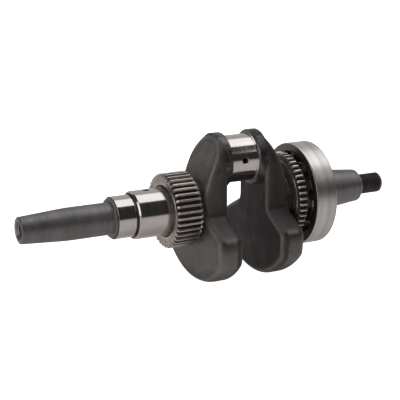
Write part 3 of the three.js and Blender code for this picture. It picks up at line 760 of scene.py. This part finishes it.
def distance_to(outline, points):
    """Distance from each point to the nearest segment of a closed outline."""
    a, b = outline, np.roll(outline, -1, axis=0)
    along = b - a
    flat = points.reshape(-1, 1, 2) - a
    share = np.clip((flat * along).sum(-1) / (along**2).sum(-1), 0, 1)
    gap = np.linalg.norm(flat - share[..., None] * along, axis=-1)
    return gap.min(axis=1).reshape(points.shape[:-1])


outline = web_outline()
lowest, highest = outline[:, 1].min(), outline[:, 1].max()
print(f"web outline: {len(outline)} points, {lowest:.1f} to {highest:.1f} mm high")

# %% Web surface
LEAN_START, LEAN_KNEE, LEAN_TOP = 10, 36, 56
LEAN_KNEE_DEPTH, LEAN_DEPTH = 6, 20
LEAN_SOFTENING = 5
EDGE_ROUND = 5
RIM_ROUND_ALONG, RIM_ROUND_ACROSS = 9, 6.5
RIM_ROUND_TOP, RIM_ROUND_FADE = -25, 20  # the rim's larger rounding grows in below this height
ROUNDING_FIT = 0.94  # the most of the web's thickness that its two roundings may take
THINNEST = 2.4
FACE_ROWS = 44
RIM_ROWS = 5
SPINE = ([-58.2, -36, -16.5, -3.5, 34, 56], [-38, -38, -33, -18, 34, 34])  # outline to spine height

RUB_PLACE, RUB_WIDTH = 0.45, 1.5  # in shares of the rounding and in millimetres
CORNER_RUB_WIDTH = 1.6
# Painted light for the pale field: the counterweight sides are lighter below the shoulder and less so
# toward the bottom, and the outer face is lighter inland.
BELLY_TOP, BELLY_FADE = -19, 8
BELLY_END, BELLY_END_FADE, BELLY_LOSS = -37, 13, 0.75
FACE_PAINTED_LIGHT, FACE_PAINTED_LIGHT_REACH = 0.92, 1.4


def lean_at(z):
    """How far the outer face has come in: a quadratic curve through start, knee and top, solved for
    height and averaged over a few millimetres so that it starts without a crease."""
    shifts = np.linspace(-LEAN_SOFTENING, LEAN_SOFTENING, 9).reshape(-1, *([1] * z.ndim))
    height = np.maximum(z + shifts, LEAN_START)
    a = LEAN_START - 2 * LEAN_KNEE + LEAN_TOP
    b = 2 * (LEAN_KNEE - LEAN_START)
    s = (-b + np.sqrt(b**2 - 4 * a * (LEAN_START - height))) / (2 * a)
    depth = 2 * LEAN_KNEE_DEPTH * s * (1 - s) + LEAN_DEPTH * s**2
    return np.minimum(depth.mean(axis=0), WEB_THICKNESS - THINNEST)


def web_piece(name, inner, outer, rim_painted_light):
    """Point on a face: outline point P and spine point S give S + (P - S)(1 - w^2), w from 1 to 0. Its
    x is the face's own minus A (1 - sqrt(1 - (1 - d / B)^2)) where its distance d to the outline is
    under B. A few rows across the rim join the two faces. rim_painted_light is the rim's least painted
    light."""
    side = math.copysign(1, outer - inner)
    spine = np.stack([np.zeros(len(outline)), np.interp(outline[:, 1], *SPINE)], axis=1)
    w = np.linspace(1, 0, FACE_ROWS)[:, None, None]
    flat = spine + (outline - spine) * (1 - w**2)
    z = flat[..., 1]
    lean = lean_at(z)
    low = np.clip((RIM_ROUND_TOP - z) / RIM_ROUND_FADE, 0, 1)
    across = EDGE_ROUND + (RIM_ROUND_ACROSS - EDGE_ROUND) * low
    along = EDGE_ROUND + (RIM_ROUND_ALONG - EDGE_ROUND) * low
    distance = distance_to(outline, flat)
    share = np.minimum(1, ROUNDING_FIT * (WEB_THICKNESS - lean) / (EDGE_ROUND + along))
    drop_inner = 1 - np.sqrt(1 - np.clip(1 - distance / EDGE_ROUND, 0, 1) ** 2)
    drop_outer = 1 - np.sqrt(1 - np.clip(1 - distance / across, 0, 1) ** 2)
    inner_x = inner + side * EDGE_ROUND * share * drop_inner
    outer_x = outer - side * (lean + along * share * drop_outer)
    face_edge = np.exp(-(((distance - RUB_PLACE * EDGE_ROUND) / RUB_WIDTH) ** 2))
    mix = np.linspace(0, 1, RIM_ROWS + 2)[1:-1, None]
    rim_x = inner_x[-1] * (1 - mix) + outer_x[-1] * mix
    across_rim = np.broadcast_to(outline, (RIM_ROWS, *outline.shape))
    rim = np.concatenate([rim_x[..., None], across_rim], axis=-1)
    face = [np.concatenate([x[..., None], flat], axis=-1) for x in (inner_x, outer_x)]
    points = np.concatenate([face[0], rim, face[1][::-1]])
    corner = np.exp(-(((outline[:, 1] - SHOULDER_Z) / CORNER_RUB_WIDTH) ** 2))
    corner = np.broadcast_to(corner * (np.abs(outline[:, 0]) > ARM_RADIUS), (RIM_ROWS, len(outline)))
    edge = np.concatenate([face_edge, corner, face_edge[::-1]])

    # Painted light: pale lightens the rim and outer face where light falls, the counterweight's upper
    # sides most and its bottom less; the inner face gets none and keeps the dark scale.
    height = points[..., 2]
    ends = 1 - BELLY_LOSS * np.clip((BELLY_END - height) / BELLY_END_FADE, 0, 1)
    pale = np.maximum(rim_painted_light, np.clip((BELLY_TOP - height) / BELLY_FADE, 0, 1) * ends)
    pale[:FACE_ROWS] = 0
    outer_face = pale[FACE_ROWS + RIM_ROWS :]
    outer_face += np.clip(distance / (FACE_PAINTED_LIGHT_REACH * along), 0, 1)[::-1] * (FACE_PAINTED_LIGHT - outer_face)
    return grid_piece(name, points, edge=edge, pale=pale)


# Painted light: the first web's rim is painted lighter than the second web's.
web_pto = web_piece("web_pto_side", web_left_inner, web_left_outer, 0.28)
stands_for(web_pto, "crankshaft_forging", forged_scale)
web_flywheel = web_piece("web_flywheel_side", web_right_inner, web_right_outer, 0.05)
PAST_PLUG = 1
bore_radius = plug_high[2] - throw + CLEARANCE
bore_depth = web_right_outer - plug_low[0] + PAST_PLUG
drilled(web_flywheel, (web_right_outer, 0, throw), (1, 0, 0), bore_radius, bore_depth, sink=0)
stands_for(web_flywheel, "crankshaft_forging", forged_scale)

# %% Flywheel side: shoulder, bearing seat and seal seat, then the taper and the stud
SEAT_OVERRUN = 3
FLYWHEEL_SEAL_RADIUS = 17.5
FLYWHEEL_SEAL_WIDTH = 9
TAPER_RADIUS = 15.7
TAPER_LENGTH = 30
TAPER_END_RADIUS = 12.7
STUD_RADIUS = 8
STUD_RELIEF_RADIUS = 6.8
STUD_RELIEF_WIDTH = 2
STUD_CHAMFER = 1.5
STUD_PITCH = 1.5
STUD_THREAD_DEPTH = 0.75
THREAD_RUN_OUT = 1

seat_end = ring_high[0] + SEAT_OVERRUN
seal_end = seat_end + FLYWHEEL_SEAL_WIDTH
taper_end = seal_end + TAPER_LENGTH
bearing_seat = turned("bearing_seat", solid_profile([
    (web_right_outer - BURIED_IN_WEB, SHOULDER_RADIUS, 0, 1),
    (balancer_left - CLEARANCE, SHOULDER_RADIUS, 0.5, 1),
    (balancer_left - CLEARANCE, BEARING_SEAT_RADIUS, 0.3, 0),
    (seat_end, BEARING_SEAT_RADIUS, 0.5, 0.5),
    (seat_end, FLYWHEEL_SEAL_RADIUS, 0.3, 0),
    (seal_end, FLYWHEEL_SEAL_RADIUS, 0.6, 0.5),
]))
stands_for(bearing_seat, "crankshaft_forging", ground_journal)

flywheel_taper = turned("flywheel_taper", solid_profile([
    (seal_end - BURIED, TAPER_RADIUS, 0, 1),
    (seal_end, TAPER_RADIUS, 0, 1),
    (taper_end, TAPER_END_RADIUS, 0.9, 1),
]))
stands_for(flywheel_taper, "crankshaft_forging", taper_steel)

relief_end = taper_end + STUD_RELIEF_WIDTH
thread_start = relief_end + STUD_RADIUS - STUD_RELIEF_RADIUS
stud_profile = denser(solid_profile([
    (taper_end - BURIED, STUD_RELIEF_RADIUS, 0, 1),
    (relief_end, STUD_RELIEF_RADIUS, 0.5, 1),
    (thread_start, STUD_RADIUS, 0.2, 1),
    (stud_end - STUD_CHAMFER, STUD_RADIUS, 0.6, 1),
    (stud_end, STUD_RADIUS - STUD_CHAMFER, 0.8, 1),
]), thread_start, stud_end, STUD_PITCH / 8)
thread_from, thread_to = thread_start - THREAD_RUN_OUT, stud_end - THREAD_RUN_OUT
stud_thread = thread(stud_profile, STUD_RADIUS, thread_from, thread_to, STUD_PITCH, STUD_THREAD_DEPTH)
stud = turned("flywheel_stud", stud_profile, radial=stud_thread)
stands_for(stud, "crankshaft_forging", stud_steel)

# %% [markdown]
# ## Gears
# Both gears are cut with the same hob, so they share one tooth form: an involute, the curve that the
# end of a taut string draws as it unwinds from a circle. The tooth outline goes round as the grid's
# columns. The rows go out along one face, across the teeth, and back along the other face and the bore.
# The face field is above 0 on the flat sides, which stay bright although they lie deeper than the gaps.

# %% Gear surface
MODULE = 1.41
PRESSURE_ANGLE = math.radians(20)
ROOT_DEPTH = 1.25  # in modules below the pitch circle; the tips stand one module above it
ROOT_FILLET = 0.25  # share of half a gap that the root fillet takes
GAP_SAG = 0.1
TIP_LAND_ROUND = 0.12
FLANK_POINTS = 7
TOOTH_CHAMFER = 1.1
END_INSET, END_LIFT = 0.25, 0.35  # the point that rounds a tooth's chamfer into the face
CHAMFER_SUPPORT = 0.5
KEY_WIDTH = 5 + 2 * CLEARANCE
KEY_STAND = 2.5
KEYWAY_LAND = 0.6
BORE_CHAMFER = 1
BACK_CHAMFER = 0.5
FACE_GROOVE_DEPTH = 0.35
FACE_GROOVE = (2.2, 1.9, 1.1, 0.8)  # distances below the root, from its inner to its outer edge
HUB_FILLET = 0.8
FACE_SHINE = 0.8
NEVER_ZERO = 1e-3


def tooth_columns(teeth):
    """Angle and radius round a gear, and 1 on the tips' edges. A flank point at radius r lies off the
    tooth's middle by pi / 2N + inv(pressure angle) - inv(acos(base / r)), where inv(x) = tan x - x."""
    pitch = MODULE * teeth / 2
    tip = pitch + MODULE
    base = pitch * math.cos(PRESSURE_ANGLE)
    radius = np.r_[np.linspace(pitch - ROOT_DEPTH * MODULE, tip - TIP_LAND_ROUND, FLANK_POINTS), tip]
    slope = np.arccos(base / np.maximum(radius, base))
    offset = np.pi / (2 * teeth) + math.tan(PRESSURE_ANGLE) - PRESSURE_ANGLE - (np.tan(slope) - slope)
    offset[0] += ROOT_FILLET * (np.pi / teeth - offset[0])
    offset[-1] -= TIP_LAND_ROUND / radius[-1]
    angle = np.r_[-offset, 0, offset[::-1], np.pi / teeth]
    height = np.r_[radius, tip, radius[::-1], radius[0] - GAP_SAG]
    flank = np.zeros(FLANK_POINTS - 1)
    on_edge = np.r_[flank, 1, 1, 0, 1, 1, flank, 0]
    middles = 2 * np.pi * np.arange(teeth) / teeth
    return (middles[:, None] + angle).ravel(), np.tile(height, teeth), np.tile(on_edge, teeth)


def gear_piece(name, teeth, left, right, bore, hub=None):
    """Row k has a station x and a radius: a face row is a circle, a bore row is the bore with its
    keyway, and a tooth row is the outline cut off at a limit, which chamfers the ends of the teeth.
    hub is the radius and the station of a hub's end, on the right side."""
    angle, outline_radius, on_edge = tooth_columns(teeth)
    tip = MODULE * (teeth / 2 + 1)
    root = outline_radius.min()
    crest = bore + KEY_STAND
    facing = np.cos(angle)
    key_side = KEY_WIDTH / 2 / np.maximum(np.abs(np.sin(angle)), NEVER_ZERO)
    slot = np.minimum(crest / np.maximum(facing, NEVER_ZERO), key_side)
    slotted = np.where(facing > 0.8, np.maximum(bore, slot), bore)
    far = hub[1] if hub else right
    groove = [root - below for below in FACE_GROOVE]
    inner = [
        (far - BACK_CHAMFER, slotted),
        (left + BORE_CHAMFER, slotted),
        (left, np.maximum(bore + BORE_CHAMFER, slotted)),
        (left, crest + KEYWAY_LAND),
        (left, groove[0]),
        (left + FACE_GROOVE_DEPTH, groove[1]),
        (left + FACE_GROOVE_DEPTH, groove[2]),
        (left, groove[3]),
    ]
    half_tooth = [
        (0, np.minimum(outline_radius, tip - TOOTH_CHAMFER)),
        (END_INSET, np.minimum(outline_radius, tip - TOOTH_CHAMFER + END_LIFT)),
        (TOOTH_CHAMFER, outline_radius),
        (TOOTH_CHAMFER + CHAMFER_SUPPORT, outline_radius),
    ]
    tooth_rows = [
        *((left + inset, limit) for inset, limit in half_tooth),
        ((left + right) / 2, outline_radius),
        *((right - inset, limit) for inset, limit in half_tooth[::-1]),
    ]
    if hub:
        outer = [
            (right, hub[0] + HUB_FILLET),
            (right + BACK_CHAMFER, hub[0]),
            (far - BACK_CHAMFER, hub[0]),
            (far, hub[0] - BACK_CHAMFER),
        ]
    else:
        outer = [(right, groove[3]), (right, crest + KEYWAY_LAND)]
    rows = [*inner, *tooth_rows, *outer, (far, np.maximum(bore + BACK_CHAMFER, slotted))]
    x = np.array([row[0] for row in rows])[:, None]
    radius = np.array([np.broadcast_to(row[1], angle.shape) for row in rows])
    points = np.stack([x + 0 * radius, radius * np.cos(angle), radius * np.sin(angle)], axis=-1)

    row = np.arange(len(rows))[:, None]
    first, last = len(inner), len(inner) + len(tooth_rows) - 1
    toothed = (row >= first) & (row <= last)
    ends = toothed & ((row < first + 3) | (row > last - 3))
    edge = np.maximum(toothed * on_edge, ends & (radius > root + 1))
    edge[2] = 1
    face = np.where(toothed, 0, FACE_SHINE)
    face[:2] = 0
    face[[first, last]] = 1
    return grid_piece(name, points, wrap_rows=True, edge=edge, face=face)


TIMING_TEETH = 38
BALANCER_TEETH = 46
HUB_RADIUS = 25
HUB_WIDTH = 3.6
timing_pitch, timing_tip = MODULE * TIMING_TEETH / 2, MODULE * (TIMING_TEETH / 2 + 1)
balancer_pitch, balancer_tip = MODULE * BALANCER_TEETH / 2, MODULE * (BALANCER_TEETH / 2 + 1)

timing_bore = TIMING_SEAT_RADIUS + CLEARANCE
timing_gear = gear_piece("timing_gear_fine", TIMING_TEETH, timing_left, timing_right, timing_bore)
timing_steel = gear_steel("timing gear steel", timing_pitch - 0.8, timing_tip - 0.1)
stands_for(timing_gear, "timing_gear", timing_steel)
gear_right, balancer_bore = hub_right - HUB_WIDTH, BEARING_SEAT_RADIUS + CLEARANCE
hub = (HUB_RADIUS, hub_right)
balancer_gear = gear_piece(
    "balancer_gear_fine", BALANCER_TEETH, balancer_left, gear_right, balancer_bore, hub
)
balancer_steel = gear_steel("balancer gear steel", balancer_pitch - 0.4, balancer_tip - 0.1)
stands_for(balancer_gear, "balancer_gear", balancer_steel)

# %% [markdown]
# ## Ball bearing
# A deep-groove bearing: two rings with a race groove each, nine balls, and a cage of two pressed
# halves riveted together. The rings are closed profiles turned round the axis. Each cage half is a
# strip that domes over every ball: its height is the larger of a flat band and a sphere.

# %% Rings
ring_width = ring_high[0] - ring_low[0]
outer_radius = ring_high[1]
BEARING_BORE_RADIUS = 20
ball_low, ball_high = span("bearing_ball_1")
BALL_RADIUS = (ball_high[0] - ball_low[0]) / 2
BALLS = sum(name.startswith("bearing_ball_") for name in frame["nodes"])
ball_circle = (outer_radius + BEARING_BORE_RADIUS) / 2
RACE_DEPTH = 2.2
RACE_POINTS = 17
RING_CHAMFER = 1.1
SHOULDER_ROUND = 0.5
LAND_DARK = 0.6
RING_AROUND = 160


def ring_piece(name, edge_radius, outward):
    """Closed section of a ring. The race is an arc of the ball's radius plus the clearance about the
    ball circle. Both side faces are dark, and so is a bore, but not the outside of the outer ring."""
    groove = BALL_RADIUS + CLEARANCE
    shoulder = ball_circle + outward * (groove - RACE_DEPTH)
    half = ring_width / 2
    swing = math.acos((groove - RACE_DEPTH) / groove)
    sweep = np.linspace(-swing, swing, RACE_POINTS)
    race = [(groove * math.sin(a), ball_circle + outward * groove * math.cos(a), 0, 0) for a in sweep]
    left_edge, right_edge = [(side, edge_radius, RING_CHAMFER) for side in (-half, half)]
    left_land, right_land = [(side, shoulder, SHOULDER_ROUND) for side in (-half, half)]
    if outward > 0:
        race[0] = (*race[0][:3], LAND_DARK)
        corners = [(*right_edge, 1), (*right_land, 0), *race[::-1], (*left_land, 1), (*left_edge, 0)]
    else:
        corners = [(*left_edge, 1), (*left_land, LAND_DARK), *race, (*right_land, 1), (*right_edge, 1)]
    return turned(name, profile_of(corners, closed=True), around=RING_AROUND, wrap_rows=True)


outer_ring = ring_piece("bearing_outer_ring_fine", outer_radius, 1)
stands_for(outer_ring, "bearing_outer_ring", ring_steel)
inner_ring = ring_piece("bearing_inner_ring_fine", BEARING_BORE_RADIUS, -1)
stands_for(inner_ring, "bearing_inner_ring", ring_steel)


# %% Balls
BALL_ROWS, BALL_COLUMNS = 25, 48


def ball_angle(index):
    return 2 * np.pi * index / BALLS + np.pi / 2


def ball_piece(index):
    """A sphere about its centre on the ball circle: a half circle turned about a line along X."""
    over = np.linspace(-np.pi / 2, np.pi / 2, BALL_ROWS)
    x, r = BALL_RADIUS * np.sin(over), BALL_RADIUS * np.cos(over)
    angle = np.linspace(0, 2 * np.pi, BALL_COLUMNS, endpoint=False)
    centre = ball_circle * np.array([np.cos(ball_angle(index)), np.sin(ball_angle(index))])
    y = centre[0] + r[:, None] * np.cos(angle)
    z = centre[1] + r[:, None] * np.sin(angle)
    return grid_piece(f"ball_{index + 1}", np.stack([x[:, None] + 0 * y, y, z], axis=-1), edge=0.0)


for index in range(BALLS):
    stands_for(ball_piece(index), f"bearing_ball_{index + 1}", ball_steel)

# %% Cage
CAGE_SHEET = 1.1
CAGE_BAND = 4.6
CAGE_ROWS = 13
CAGE_COLUMNS_PER_BALL = 40
THINNEST_SHEET = 0.5
DOME_SOFTNESS = 0.35


def soft_max(a, b, width):
    """The larger of two heights with the crease between them rounded over."""
    return (a + b + np.sqrt((a - b) ** 2 + width**2)) / 2


def cage_piece(name, side):
    """Columns go round the ball circle, rows cross the band outside and come back inside. Each height
    is a flat band or the sphere sqrt(R^2 - d^2) about the nearest ball, whichever is larger."""
    angle = np.linspace(0, 2 * np.pi, CAGE_COLUMNS_PER_BALL * BALLS, endpoint=False)
    radius = ball_circle + CAGE_BAND * np.linspace(-0.5, 0.5, CAGE_ROWS)[:, None]
    step = 2 * np.pi / BALLS
    nearest = ball_angle(0) + step * np.round((angle - ball_angle(0)) / step)
    gap = radius**2 + ball_circle**2 - 2 * radius * ball_circle * np.cos(angle - nearest)

    def height(reach, floor):
        return soft_max(np.sqrt(np.maximum(reach**2 - gap, 0)), floor, DOME_SOFTNESS)

    pocket, parting = BALL_RADIUS + CLEARANCE, CLEARANCE / 2
    inside = height(pocket, parting)
    outside = np.maximum(height(pocket + CAGE_SHEET, parting + CAGE_SHEET), inside + THINNEST_SHEET)
    x = side * np.concatenate([outside, inside[::-1]])
    r = np.concatenate([radius, radius[::-1]])
    points = np.stack([x, r * np.cos(angle), r * np.sin(angle)], axis=-1)
    edge = np.zeros(len(x))
    edge[[0, CAGE_ROWS - 1]] = 1
    return grid_piece(name, points, wrap_rows=True, edge=edge[:, None])


for label, side in (("left", -1), ("right", 1)):
    stands_for(cage_piece(f"cage_{label}_fine", side), f"bearing_cage_{label}", cage_steel)

# %% Cage rivets
RIVET_HEAD = 0.7
RIVET_SHANK = 1
RIVET_CROWN = 0.55  # of the head's radius
RIVET_ROUND = 0.3
RIVET_AROUND = 24

for index in range(BALLS):
    low, high = span(f"cage_rivet_{index + 1}")
    half, head = (high[0] - low[0]) / 2, (high[1] - low[1]) / 2
    grip = half - RIVET_HEAD
    ends = [(half, 0), (half, head * RIVET_CROWN), (grip, head), (grip, RIVET_SHANK)]
    corners = [*((-x, r) for x, r in ends), *ends[::-1]]
    profile = profile_of([(x, r, RIVET_ROUND, 0) for x, r in corners])
    rivet = turned(f"rivet_{index + 1}", profile, around=RIVET_AROUND)
    middle = (low + high) / 2
    rivet.data.transform(Matrix.Translation(Vector((0, *middle[1:])) * MM))
    stands_for(rivet, f"cage_rivet_{index + 1}", cage_steel)

# %% [markdown]
# ## Keys and plug
# Two parallel keys drive the gears and a half-moon key times the flywheel. Each is a flat outline
# carried through its thickness, drawn in a little at both ends so that its edges catch light.

# %% Key surface
KEY_ROUND = 0.35
TO_CENTRE = 1e3  # an inset past any key's half width, so the end row closes at the middle


def key_piece(name, outline, low, high, order):
    """Rows are the closed outline at a station, moved inward by a quarter-round at each end. order
    says which axes the outline's two coordinates and the thickness lie on."""
    inward = outline.mean(axis=0) - outline
    inward /= np.linalg.norm(inward, axis=1)[:, None]
    turn = np.linspace(0, np.pi / 2, 5)
    rounded = KEY_ROUND * (1 - np.sin(turn))
    inset = np.r_[TO_CENTRE, rounded, rounded[::-1], TO_CENTRE]
    lift = KEY_ROUND * (1 - np.cos(turn))
    stations = np.r_[low, low + lift, high - lift[::-1], high]
    room = np.linalg.norm(outline.mean(axis=0) - outline, axis=1)
    flat = outline + inward * np.minimum(inset[:, None], room)[..., None]
    carried = np.broadcast_to(stations[:, None, None], (*flat.shape[:2], 1))
    stack = np.concatenate([flat, carried], axis=-1)
    points = np.empty_like(stack)
    points[..., list(order)] = stack
    edge = np.r_[0, np.ones(2 * len(turn)), 0][:, None]
    return grid_piece(name, points, edge=edge)


def rounded_rectangle(low, high, round_):
    """Closed outline of a rectangle with a quarter circle at each corner."""
    signs = [(1, 1), (-1, 1), (-1, -1), (1, -1)]
    middle, half = (low + high) / 2, (high - low) / 2 - round_
    parts = []
    for quarter, sign in enumerate(signs):
        a = np.linspace(0, np.pi / 2, 6) + quarter * np.pi / 2
        parts.append(middle + half * sign + round_ * np.stack([np.cos(a), np.sin(a)], axis=1))
    return np.concatenate(parts)


for node in ("timing_gear_key", "balancer_gear_key"):
    low, high = span(node)
    section = rounded_rectangle(low[1:], high[1:], KEY_ROUND)
    bar = key_piece(f"{node}_fine", section, low[0], high[0], (1, 2, 0))
    stands_for(bar, node, key_steel)

# %% Half-moon flywheel key and oil plug
MOON_RADIUS = 8
MOON_POINTS = 41
low, high = span("flywheel_key")
centre = [(low[0] + high[0]) / 2, low[1] + MOON_RADIUS]
reach = math.acos((centre[1] - high[1]) / MOON_RADIUS)
sweep = np.linspace(-np.pi / 2 - reach, -np.pi / 2 + reach, MOON_POINTS)
moon = np.stack([np.cos(sweep), np.sin(sweep)], axis=1) * MOON_RADIUS + centre
moon[:, 1] = np.minimum(moon[:, 1], high[1])
half_moon = key_piece("flywheel_key_fine", moon, low[2], high[2], (0, 1, 2))
stands_for(half_moon, "flywheel_key", key_steel)

SOCKET_MOUTH, SOCKET_FLOOR = 0.62, 0.5  # of the plug's radius
SOCKET_DEPTH = 1.6
plug_radius = plug_high[2] - throw
plug = turned("oil_plug", solid_profile([
    (plug_low[0], plug_radius, 0.5, 0),
    (plug_high[0], plug_radius, 0.6, 0),
    (plug_high[0], plug_radius * SOCKET_MOUTH, 0.5, 0),
    (plug_high[0] - SOCKET_DEPTH, plug_radius * SOCKET_FLOOR, 0.5, 0),
], dark=0), height=throw, around=64)
stands_for(plug, "oil_gallery_plug", key_steel)

# %% [markdown]
# ## Studio
# Bright steel shows the room, so the room is built for it. One long softbox hangs over the shaft and
# gives each journal its white band. The floor is pale, and the lower half of a journal shows it. A tall
# dim panel stands behind. Nothing stands in front, so each journal keeps a dark band. Two fills help
# the rest: one at the left for the first web's outer face, one at the right for the bearing's ring.

# %% Floor
FLOOR_GAP = 2
FLOOR_REACH = 6000
FLOOR_GLOW = 0.25
FLOOR_GLOW_SEEN = 0.97  # added for what the camera sees, and not for what the steel reflects


def floor_material():
    """Pale floor: plain diffuse paint with a light of its own, which keeps it an even white."""
    material = bpy.data.materials.new("pale floor")
    material.use_nodes = True
    n = Nodes(material.node_tree)
    shader = material.node_tree.nodes["Principled BSDF"]
    shader.inputs["Base Color"].default_value = (0.66, 0.64, 0.63, 1)
    shader.inputs["Roughness"].default_value = 0.9
    shader.inputs["Specular IOR Level"].default_value = 0
    shader.inputs["Emission Color"].default_value = (1.0, 0.955, 0.935, 1)
    seen = n.add("ShaderNodeLightPath").outputs["Is Camera Ray"]
    n.feed(shader.inputs["Emission Strength"], n.math("MULTIPLY_ADD", seen, FLOOR_GLOW_SEEN, FLOOR_GLOW))
    return material


floor_z = forging_low[2] - FLOOR_GAP
signs = [(-1, -1), (1, -1), (1, 1), (-1, 1)]
corners = [(x * FLOOR_REACH * MM, y * FLOOR_REACH * MM, floor_z * MM) for x, y in signs]
floor_mesh = bpy.data.meshes.new("floor")
floor_mesh.from_pydata(corners, [], [(0, 1, 2, 3)])
floor_mesh.materials.append(floor_material())
floor = bpy.data.objects.new("floor", floor_mesh)
bpy.context.scene.collection.objects.link(floor)
floor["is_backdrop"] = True
print(f"floor at {floor_z:.1f} mm")

# %% Lights


def panel(name, place, aim, width, height, radiance):
    """Rectangular area light whose face has the given radiance: watts = pi * area * radiance."""
    light = bpy.data.lights.new(name, "AREA")
    light.shape = "RECTANGLE"
    light.size, light.size_y = width, height
    light.energy = math.pi * width * height * radiance
    lamp = bpy.data.objects.new(name, light)
    lamp.location = place
    lamp.rotation_euler = (Vector(aim) - Vector(place)).to_track_quat("-Z", "Y").to_euler()
    bpy.context.scene.collection.objects.link(lamp)
    return lamp


middle_x = (pto_end + stud_end) / 2 * MM
over_x, back_x, right_x = middle_x + 0.45, middle_x + 0.5, middle_x + 0.82
panel("overhead softbox", (over_x, 0.09, 1.0), (over_x, 0.09, 0), 1.5, 0.90, 1.5)
panel("back panel", (back_x, 2.4, 2.0), (back_x, 0, 2.0), 4.6, 4.1, 0.5)
panel("left fill", (middle_x - 1.5, -0.35, 0.55), (middle_x, 0, 0), 1.1, 1.1, 1.6)
panel("right fill", (right_x, -0.38, 0.72), (right_x, 0, 0), 0.66, 0.78, 0.8)

world = bpy.data.worlds.new("studio")
world.use_nodes = True
world.node_tree.nodes["Background"].inputs["Color"].default_value = (0.035, 0.034, 0.034, 1)
bpy.context.scene.world = world
bpy.context.scene.view_settings.view_transform = "Standard"

# %% Camera
CAMERA_PLACE = (-0.47813, -0.75864, 0.23638)
CAMERA_TURN = (74.80, 0, -27.19)
CAMERA_LENS = 105.49

camera_data = bpy.data.cameras.new("camera")
camera_data.lens = CAMERA_LENS
camera_data.sensor_width = 36
camera = bpy.data.objects.new("camera", camera_data)
camera.location = CAMERA_PLACE
camera.rotation_euler = [math.radians(angle) for angle in CAMERA_TURN]
bpy.context.scene.collection.objects.link(camera)
bpy.context.scene.camera = camera

# %% Sizes and finish
visual_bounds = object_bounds()
sizes = {
    "cad": [list(corner) for corner in cad_bounds],
    "visual": [list(corner) for corner in visual_bounds],
}
for label, (low, high) in sizes.items():
    print(label, [round(v / MM, 2) for v in low], [round(v / MM, 2) for v in high])
